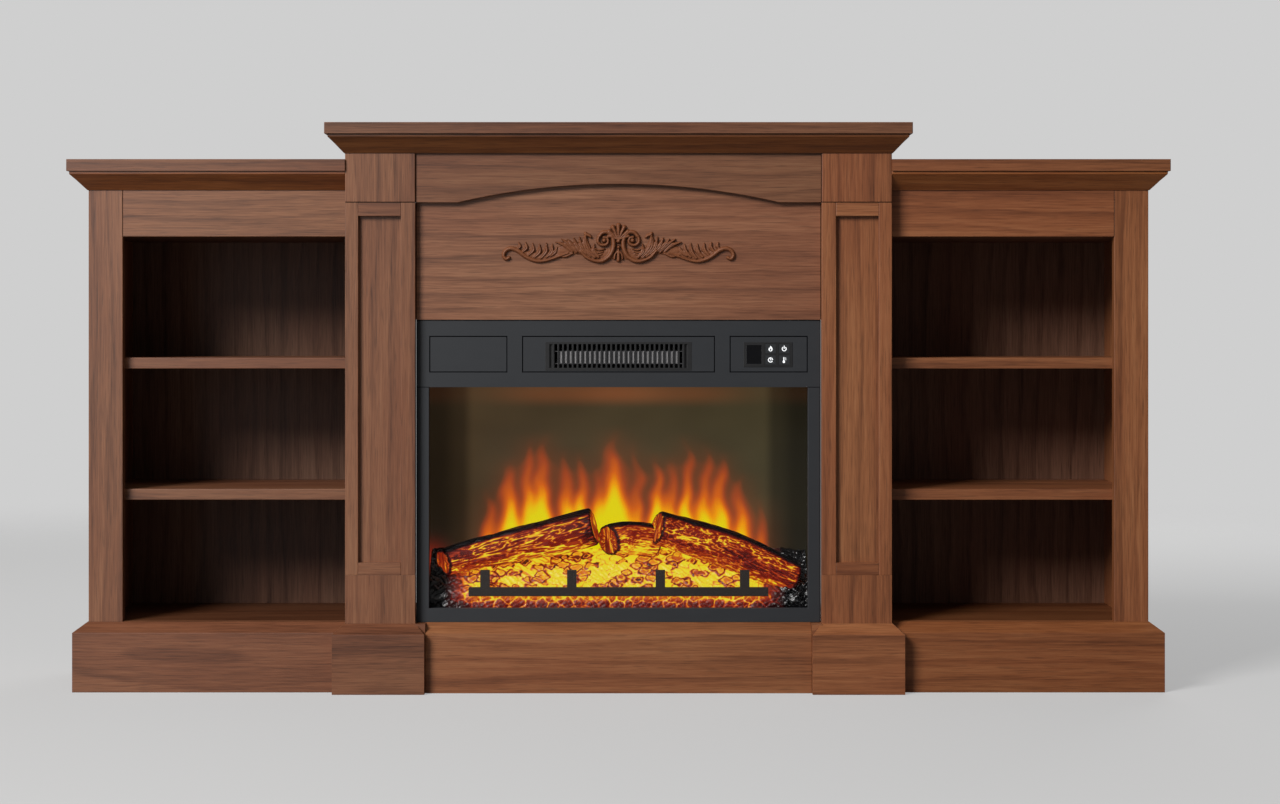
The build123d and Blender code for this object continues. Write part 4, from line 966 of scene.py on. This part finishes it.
def lit_resin(name, base, rough, spec):
    """Translucent resin lit from within; its glow comes from the piece's own numbers."""
    s = Shader(name)
    level = s.add("Attribute", attribute_name="glow").outputs["Fac"]
    coal = s.add("Attribute", attribute_name="coal").outputs["Fac"]
    fine = s.noise(s.place, 900.0, 2.0, 0.6)
    broad = s.noise(s.place, 60.0, 3.0, 0.6)
    varied = s.math("ADD", level, s.math("MULTIPLY_ADD", broad, 0.16, -0.08))
    varied = s.math("MULTIPLY_ADD", fine, 0.10, s.math("SUBTRACT", varied, 0.05))
    varied = s.math("MULTIPLY", varied, s.math("SUBTRACT", 1.0, coal))
    body = s.mix(coal, (*base, 1), (0.006, 0.006, 0.007, 1))
    body = s.mix(1.0, body, s.ramp(broad, [(0.3, 0.7), (0.7, 1.2)]), "MULTIPLY")
    s.set(
        Base_Color=body,
        Roughness=s.math("SUBTRACT", rough, s.math("MULTIPLY", coal, 0.28)),
        Emission_Color=s.ramp(varied, EMBER_STOPS),
    )
    s.fix("Emission Strength", 1.0)
    s.fix("Specular IOR Level", spec)
    s.bump(fine, 0.0003, 0.7)
    return s.mat


def smoothstep(low, high, v):
    t = np.clip((v - low) / (high - low), 0, 1)
    return t * t * (3 - 2 * t)


# Ember bed: a mound of lumps, seen mostly from the front.
BED_STEP = 1.25
BED_SECTION = ((-82, 1), (-82, 42), (-70, 54), (-44, 78), (-12, 104), (4, 105))
bx0, bx1, _, by1, bz0, _ = limits("ember_bed")
sect = np.array(BED_SECTION, float)
run = np.concatenate([[0], np.cumsum(np.hypot(*np.diff(sect, axis=0).T))])
count = int(run[-1] / BED_STEP)
dist = np.linspace(0, run[-1], count)
sec_y = np.interp(dist, run, sect[:, 0])
sec_z = np.interp(dist, run, sect[:, 1]) + bz0
kernel = np.ones(9) / 9
pad_y = np.concatenate([np.full(4, sec_y[0]), sec_y, np.full(4, sec_y[-1])])
pad_z = np.concatenate([np.full(4, sec_z[0]), sec_z, np.full(4, sec_z[-1])])
sec_y, sec_z = np.convolve(pad_y, kernel, "valid"), np.convolve(pad_z, kernel, "valid")
out_y, out_z = -np.gradient(sec_z), np.gradient(sec_y)
size = np.hypot(out_y, out_z)
out_y, out_z = out_y / size, out_z / size
bed_x = np.linspace(bx0 + 2, bx1 - 2, int((bx1 - bx0) / BED_STEP))
UX, US = np.meshgrid(bed_x, dist)
rng = np.random.default_rng(21)
CELL_X, CELL_S = 21.0, 15.0
seeds = []
for j in range(int(run[-1] / CELL_S) + 1):
    for i in range(int((bx1 - bx0) / CELL_X) + 1):
        seed_x = bx0 + (i + 0.5 * (j % 2) + rng.uniform(0.12, 0.88)) * CELL_X
        seed_s = (j + rng.uniform(0.15, 0.85)) * CELL_S
        seeds.append((seed_x, seed_s, rng.uniform(0, 1), rng.uniform(-1, 1), rng.uniform(-1, 1)))
seeds = np.array(seeds)
bend_x = UX + 3.2 * field(UX, US, 0.18, 0.22, 8)
bend_s = US + 2.6 * field(UX, US, 0.21, 0.17, 9)
near = np.full(UX.shape, 1e9)
second = np.full(UX.shape, 1e9)
which = np.zeros(UX.shape, int)
for n, seed_row in enumerate(seeds):
    d = np.hypot((bend_x - seed_row[0]) * 0.74, bend_s - seed_row[1])
    closer = d < near
    second = np.where(closer, near, np.minimum(second, d))
    which = np.where(closer, n, which)
    near = np.where(closer, d, near)
gap = second - near
tag = seeds[which, 2]
facet = (bend_x - seeds[which, 0]) * seeds[which, 3] + (bend_s - seeds[which, 1]) * seeds[which, 4]
height = np.interp(US, dist, sec_z)
off = np.abs(UX + 6)
coal = smoothstep(262, 284, off)
coal = np.maximum(coal, 0.9 * smoothstep(152, 128, height) * smoothstep(228, 262, off))
lump = np.sqrt(np.clip(1 - (near / 11.5) ** 2, 0, 1))
rise = 3.4 * lump + 0.9 * field(UX, US, 0.5, 0.6, 10) + coal * np.clip(0.42 * facet, -2.6, 2.6)
ends = smoothstep(236, 272, off)
upper = smoothstep(150, 168, height)
stone = (tag > 0.36) * 1.0
v = near / (4.6 + 4.0 * tag)
rim_dark = np.exp(-(((v - 0.92) / 0.23) ** 2)) * stone
inner = smoothstep(0.62, 0.40, v) * stone
squiggle = np.exp(-((field(UX, US, 0.15, 0.22, 12) / 0.11) ** 2)) * (1 - inner)
between = np.exp(-((gap / 1.3) ** 2)) * (tag > 0.12)
heart_dark = inner * (0.26 + 0.56 * seeds[which, 3] ** 2)
bright = 0.98 - 0.66 * rim_dark - heart_dark - 0.38 * squiggle - 0.16 * between
seam = np.exp(-((gap / 1.9) ** 2)) * (0.8 + 0.25 * field(UX, US, 0.05, 0.09, 14))
thread = np.exp(-((field(UX, US, 0.28, 0.34, 13) / 0.14) ** 2))
dull = 0.21 + 0.52 * seam + 0.26 * thread + 0.34 * smoothstep(138, 151, height)
level = upper * bright + (1 - upper) * dull
level = level * (1 - ends) + ends * (0.13 + 0.30 * seam + 0.10 * thread)
level = np.clip(level, 0.0, 1.0)
bm = bmesh.new()
grid = []
for r in range(count):
    row = [(x, sec_y[r] + out_y[r] * k, sec_z[r] + out_z[r] * k) for x, k in zip(bed_x, rise[r])]
    grid.append([bm.verts.new(p) for p in row])
for r in range(count - 1):
    for c in range(len(bed_x) - 1):
        bm.faces.new((grid[r][c], grid[r][c + 1], grid[r + 1][c + 1], grid[r + 1][c]))
foot_back = [bm.verts.new((v.co.x, by1 - 0.5, bz0)) for v in grid[-1]]
for c in range(len(bed_x) - 1):
    bm.faces.new((grid[-1][c], grid[-1][c + 1], foot_back[c + 1], foot_back[c]))
for c, flip in ((0, False), (-1, True)):
    loop = [row[c] for row in grid] + [foot_back[c]]
    bm.faces.new(loop[::-1] if flip else loop)
bm.faces.new(grid[0] + foot_back[::-1])
tail = np.zeros(len(bed_x))
resin = lit_resin("ember_resin_lit", (0.02, 0.005, 0.003), 0.50, 0.5)
embers = finish_mesh("ember_mound", bm, [resin], smooth=1.3, replaces=["ember_bed"])
store(embers, "glow", np.concatenate([level.ravel(), tail]))
store(embers, "coal", np.concatenate([coal.ravel(), tail + 1]))

# Logs: split tubes with furrowed bark, knots, a charred back and slanted cuts.
LOG_STEP = 1.3
LOGS = {
    "left_log": dict(
        path=((-292, -56, 205), (-235, -54, 219), (-165, -53, 236), (-95, -53, 251), (-40, -54, 265)),
        radii=(22, 26, 28, 31, 31),
        knots=((150, -0.2, 9),),
        along=0.015,
        around=0.115,
        burnt=(0.0, 0.45),
        cuts=(0.55, 0.10),
        seed=31,
        glow=0.30,
    ),
    "right_log": dict(
        path=((64, -54, 263), (118, -54, 247), (175, -54, 230), (235, -54, 204), (289, -56, 181)),
        radii=(28, 30, 31, 31, 27),
        knots=((78, 0.15, 9),),
        along=0.028,
        around=0.120,
        burnt=(0.10, 0.05),
        cuts=(0.35, -0.40),
        seed=47,
        glow=0.315,
    ),
    "middle_log": dict(
        path=((-17, -44, 241), (12, -38, 245), (42, -32, 243), (68, -26, 238)),
        radii=(26, 27, 26, 24),
        knots=(),
        along=0.018,
        around=0.15,
        burnt=(0.0, 0.10),
        cuts=(0.50, 0.0),
        seed=53,
        glow=0.42,
    ),
}


def smooth_path(points, step):
    dense = curve_points(points, 400)
    run = np.concatenate([[0], np.cumsum(np.linalg.norm(np.diff(dense, axis=0), axis=1))])
    at = np.linspace(0, run[-1], int(run[-1] / step))
    return at, np.stack([np.interp(at, run, dense[:, k]) for k in range(3)], 1)


for node, log in LOGS.items():
    at, line = smooth_path(log["path"], LOG_STEP)
    total = at[-1]
    radius = np.interp(at / total, np.linspace(0, 1, len(log["radii"])), log["radii"])
    steps = int(2 * math.pi * max(log["radii"]) / LOG_STEP)
    turn = np.linspace(0, 2 * math.pi, steps, endpoint=False)
    ahead = np.gradient(line, axis=0)
    ahead /= np.linalg.norm(ahead, axis=1)[:, None]
    front = np.cross(ahead, (0, 0, 1.0))
    front /= np.linalg.norm(front, axis=1)[:, None]
    front *= np.where(front[:, 1] > 0, -1, 1)[:, None]
    up = np.cross(front, ahead)
    up *= np.where(up[:, 2] < 0, -1, 1)[:, None]
    A, T = np.meshgrid(at, turn, indexing="ij")
    R = np.repeat(radius[:, None], steps, 1)
    # Turn 0 faces the front and a quarter turn is straight up.
    ka, kb, seed = log["along"], log["around"], log["seed"]
    out_front, out_up = R * np.cos(T), R * np.sin(T)

    def grain_noise(scale_a, scale_b, shift):
        values = np.empty(A.size)
        flat = zip((A * scale_a).ravel(), (out_front * scale_b).ravel(), (out_up * scale_b).ravel())
        for i, (a, b, c) in enumerate(flat):
            values[i] = noise.noise((a + shift, b + seed, c - shift))
        return values.reshape(A.shape)

    slow_n = grain_noise(0.012, 0.03, 1.0)
    warp_n = grain_noise(ka * 1.4, kb * 0.5, 5.0)
    strand = grain_noise(ka, kb, 9.0)
    strand2 = grain_noise(ka * 2.2, kb * 1.9, 14.0)
    mix_n = strand + 0.55 * strand2 + 0.25 * warp_n
    furrow = np.exp(-((mix_n / 0.085) ** 2))
    coarse = np.exp(-((grain_noise(ka * 0.8, kb * 0.45, 19.0) / 0.06) ** 2))
    knot = np.zeros_like(A)
    knot_ring = np.zeros_like(A)
    for ks, kt, kr in log["knots"]:
        d = np.hypot(A - ks, R * (T - kt))
        knot += np.exp(-((d / kr) ** 2))
        knot_ring += (0.5 + 0.5 * np.cos(d * 1.5)) * np.exp(-((d / (kr * 1.15)) ** 4))
    bumpy = R * (1 + 0.07 * slow_n) + 1.5 * mix_n - 1.5 * furrow - 1.6 * coarse + 2.2 * knot
    # Round the rims of both ends.
    rim = np.clip(np.minimum(A, total - A) / 4.0, 0, 1)
    bumpy = bumpy - 2.2 * (1 - np.sqrt(1 - (1 - rim) ** 2))
    lean = log["cuts"][0] * np.clip(1 - A / 60, 0, 1) - log["cuts"][1] * np.clip(1 - (total - A) / 60, 0, 1)
    frontness = bumpy * np.cos(T)
    P = (
        line[:, None, :]
        + frontness[..., None] * front[:, None, :]
        + (bumpy * np.sin(T))[..., None] * up[:, None, :]
        + (lean * frontness)[..., None] * ahead[:, None, :]
    )
    high = np.sin(T)
    char = smoothstep(0.66, 0.92, high + 0.14 * slow_n + 0.10 * mix_n)
    dark = smoothstep(0.05, 0.45, grain_noise(0.010, 0.055, 27.0) + 0.10)
    under = smoothstep(0.1, -0.75, high)
    thread = np.exp(-((grain_noise(ka * 2.6, kb * 2.1, 33.0) / 0.085) ** 2))
    level = log["glow"] - 0.10 * dark - 0.03 * (1 - under)
    level = level + (0.60 * furrow + 0.48 * thread) * (1 - 0.48 * dark) + 0.10 * coarse + 0.05 * mix_n
    level = level + 0.26 * knot_ring - 0.16 * knot
    level = level + 0.13 * smoothstep(0.6, 1.0, under)
    from_end = smoothstep(34, 4, A) * log["burnt"][0] + smoothstep(34, 4, total - A) * log["burnt"][1]
    edge_dark = smoothstep(5.0, 1.0, np.minimum(A, total - A)) * 0.6
    char = np.clip(np.maximum(char, np.maximum(from_end * (1 - 0.55 * furrow), edge_dark)), 0, 1)
    level = level * (1 - char)
    bm = bmesh.new()
    rings = [[bm.verts.new(p) for p in P[i]] for i in range(len(at))]
    for i in range(len(at) - 1):
        for j in range(steps):
            k = (j + 1) % steps
            bm.faces.new((rings[i][j], rings[i][k], rings[i + 1][k], rings[i + 1][j]))
    extra_glow, extra_char = [], []
    for end, sign in ((0, -1), (-1, 1)):
        outer = P[end]
        middle = outer.mean(0)
        ring_now = rings[end]
        for share in (0.9, 0.78, 0.66, 0.54, 0.42, 0.3, 0.18, 0.08):
            pts = middle + (outer - middle) * share
            spots = [(p[1] * 0.02 + seed, (p[0] - p[1]) * 0.17, p[2] * 0.02) for p in pts]
            split = np.array([noise.noise(spot) for spot in spots])
            line_glow = np.exp(-((split / 0.11) ** 2))
            pts = pts + sign * ahead[end] * (0.8 - 2.0 * line_glow)[:, None]
            made = [bm.verts.new(p) for p in pts]
            for j in range(steps):
                k = (j + 1) % steps
                bm.faces.new((ring_now[j], ring_now[k], made[k], made[j]))
            ring_now = made
            extra_glow.append(0.33 + 0.5 * line_glow + 0.1 * split)
            extra_char.append(np.full(steps, 0.0))
        bm.faces.new(ring_now)
    resin = lit_resin(f"{node}_resin_lit", (0.014, 0.003, 0.002), 0.55, 0.10)
    piece = finish_mesh(f"{node}_bark", bm, [resin], smooth=1.3, replaces=[node])
    store(piece, "glow", np.concatenate([level.ravel()] + extra_glow))
    store(piece, "coal", np.concatenate([0.9 * char.ravel()] + extra_char))

# ------------------------------------------------------------ symbols on keys
SYMBOL_T = 0.22  # how far a printed symbol stands off its key


def band_plate(bm, outer, inner, y, closed=True):
    """A flat raised band between two matching outlines, facing the front."""
    n = len(outer)
    back = y + SYMBOL_T
    loops = ((outer, y), (inner, y), (inner, back), (outer, back))
    edges = [[bm.verts.new((x, at, z)) for x, z in points] for points, at in loops]
    for k in range(n if closed else n - 1):
        m = (k + 1) % n
        for edge, beside in zip(edges, edges[1:] + edges[:1]):
            bm.faces.new((edge[k], edge[m], beside[m], beside[k]))
    if not closed:
        for k in (0, n - 1):
            bm.faces.new([edge[k] for edge in edges])


def arc(cx, cz, r, a0, a1, n=28):
    """Points of an arc round (cx, cz) from angle a0 to a1, in degrees."""
    turns = [math.radians(a0 + (a1 - a0) * k / n) for k in range(n + 1)]
    return [(cx + r * math.cos(a), cz + r * math.sin(a)) for a in turns]


def plate(bm, outline, y):
    """A raised flat shape."""
    add_prism(bm, [[(x, at, z) for x, z in outline] for at in (y, y + SYMBOL_T)], 0, 0.0)


def bar_plate(bm, p, q, w, y):
    """A raised straight stroke with round ends."""
    (x0, z0), (x1, z1) = p, q
    lean = math.degrees(math.atan2(z1 - z0, x1 - x0))
    plate(bm, arc(x1, z1, w / 2, lean - 90, lean + 90, 8) + arc(x0, z0, w / 2, lean + 90, lean + 270, 8), y)


def key_centre(node):
    """Where a key's symbol goes: the middle of the key, just in front of its face."""
    kx0, kx1, ky0, _, kz0, kz1 = limits(node)
    return (kx0 + kx1) / 2, ky0 - SYMBOL_T, (kz0 + kz1) / 2


STROKE = 1.5
x, y, z = key_centre("power_button")
bm = bmesh.new()
band_plate(bm, arc(x, z - 0.3, 4.0, 125, 415), arc(x, z - 0.3, 4.0 - STROKE, 125, 415), y, False)
bar_plate(bm, (x, z + 0.6), (x, z + 4.4), STROKE, y)
finish_mesh("power_symbol", bm, [ICON_WHITE], body="power_key")

x, y, z = key_centre("timer_button")
bm = bmesh.new()
band_plate(bm, arc(x, z, 4.2, 0, 330), arc(x, z, 4.2 - STROKE, 0, 330), y, False)
bar_plate(bm, (x, z), (x, z + 2.2), 0.9, y)
bar_plate(bm, (x, z), (x + 1.7, z), 0.9, y)
finish_mesh("timer_symbol", bm, [ICON_WHITE], body="timer_key")

x, y, z = key_centre("heat_button")
bm = bmesh.new()
bar_plate(bm, (x - 0.6, z - 2.6), (x - 0.6, z + 3.8), 1.7, y)
plate(bm, arc(x - 0.6, z - 3.0, 2.0, 0, 345, 22), y)
for tick in (0.4, 2.0, 3.6):
    bar_plate(bm, (x + 1.5, z + tick), (x + 3.0, z + tick), 0.7, y)
finish_mesh("heat_symbol", bm, [ICON_WHITE], body="heat_key")

FLAME_OUTLINE = (
    (0, 5.0), (1.4, 3.2), (2.9, 1.2), (3.3, -1.2), (2.4, -3.4), (0.4, -4.5),
    (-1.8, -3.8), (-3.2, -1.8), (-3.0, 0.6), (-1.9, 2.0), (-1.3, 0.9), (-0.8, 2.8),
)
x, y, z = key_centre("flame_button")
bm = bmesh.new()
shape = curve_points(list(FLAME_OUTLINE) + [FLAME_OUTLINE[0]], 70)[:-1]
hollow = [(x + 0.42 * a, z - 1.3 + 0.42 * (b - 0.2)) for a, b in shape]
band_plate(bm, [(x + a, z + b) for a, b in shape], hollow, y)
finish_mesh("flame_symbol", bm, [ICON_WHITE], body="flame_key")

# ----------------------------------------------------- floor, world and lights
FLOOR_R = 9.0
FLOOR_DROP = 0.2  # mm below the plinths
FLOOR_FADE = (1.9, 4.6)
bm = bmesh.new()
rim = arc(0, 0, FLOOR_R / MM, 0, 356.25, 95)
bm.faces.new([bm.verts.new((x, y, -FLOOR_DROP)) for x, y in rim])
bmesh.ops.scale(bm, vec=(MM, MM, MM), verts=bm.verts)
me = bpy.data.meshes.new("floor")
bm.to_mesh(me)
bm.free()
floor = bpy.data.objects.new("floor", me)
bpy.context.collection.objects.link(floor)
FLOOR_ALBEDO = 0.29
FLOOR_LIFT = 0.35
ground = Shader("pale_floor")
length = ground.add("VectorMath", {0: ground.scaled((0.8, 1.0, 1.0))}, operation="LENGTH").outputs["Value"]
fade = {"Value": length, "From Min": FLOOR_FADE[0], "From Max": FLOOR_FADE[1]}
far_off = ground.add("MapRange", fade, interpolation_type="SMOOTHERSTEP").outputs[0]
matt = ground.add("BsdfDiffuse", {"Color": (FLOOR_ALBEDO, FLOOR_ALBEDO, FLOOR_ALBEDO, 1)})
lift = ground.add("Emission", {"Color": (1, 1, 1, 1), "Strength": FLOOR_LIFT})
seen = ground.add("LightPath").outputs["Is Camera Ray"]
nothing = ground.add("Emission", {"Strength": 0.0})
lift_seen = ground.add("MixShader", {0: seen, 1: nothing.outputs[0], 2: lift.outputs[0]})
lit_floor = ground.add("AddShader", {0: matt.outputs[0], 1: lift_seen.outputs[0]})
away = ground.add("BsdfTransparent")
both = ground.add("MixShader", {0: far_off, 1: lit_floor.outputs[0], 2: away.outputs[0]})
ground.nt.links.new(both.outputs[0], ground.out.inputs["Surface"])
me.materials.append(ground.mat)

# The sky is brighter to the camera than it is as a light.
WORLD_SEEN = 0.624
WORLD_LIGHT = 0.11
world = bpy.data.worlds.new("studio")
world.use_nodes = True
sky = world.node_tree
seen_sky = sky.nodes["Background"]
lit_sky = sky.nodes.new("ShaderNodeBackground")
for background, strength in ((seen_sky, WORLD_SEEN), (lit_sky, WORLD_LIGHT)):
    background.inputs["Color"].default_value = (1, 1, 1, 1)
    background.inputs["Strength"].default_value = strength
pick = sky.nodes.new("ShaderNodeMixShader")
sky.links.new(sky.nodes.new("ShaderNodeLightPath").outputs["Is Camera Ray"], pick.inputs[0])
sky.links.new(lit_sky.outputs[0], pick.inputs[1])
sky.links.new(seen_sky.outputs[0], pick.inputs[2])
sky.links.new(pick.outputs[0], sky.nodes["World Output"].inputs["Surface"])
bpy.context.scene.world = world
bpy.context.scene.view_settings.view_transform = "Standard"


def area_light(name, place, aim, size, power, colour=(1, 1, 1)):
    """A soft studio light at place that faces aim."""
    data = bpy.data.lights.new(name, "AREA")
    data.shape = "RECTANGLE"
    data.size, data.size_y = size
    data.energy = power
    data.color = colour
    ob = bpy.data.objects.new(name, data)
    ob.location = place
    ob.rotation_euler = (Vector(aim) - Vector(place)).to_track_quat("-Z", "Y").to_euler()
    bpy.context.collection.objects.link(ob)
    return ob


area_light("key", (-4.3, -5.4, 4.5), (0, 0, 0.35), (2.8, 2.8), 650.0, (1.0, 0.99, 0.975))
area_light("top", (-0.4, -2.2, 3.4), (0, 0, 0.3), (2.4, 1.6), 12.0)
area_light("back_fill", (1.6, 3.8, 2.4), (0, 0, 0.4), (2.4, 2.0), 70.0)
# The veil only adds a soft sheen.
veil = area_light("veil", (-3.4, -4.6, 1.1), (0, 0, 0.5), (3.2, 2.4), 105.0)
veil.visible_diffuse = False
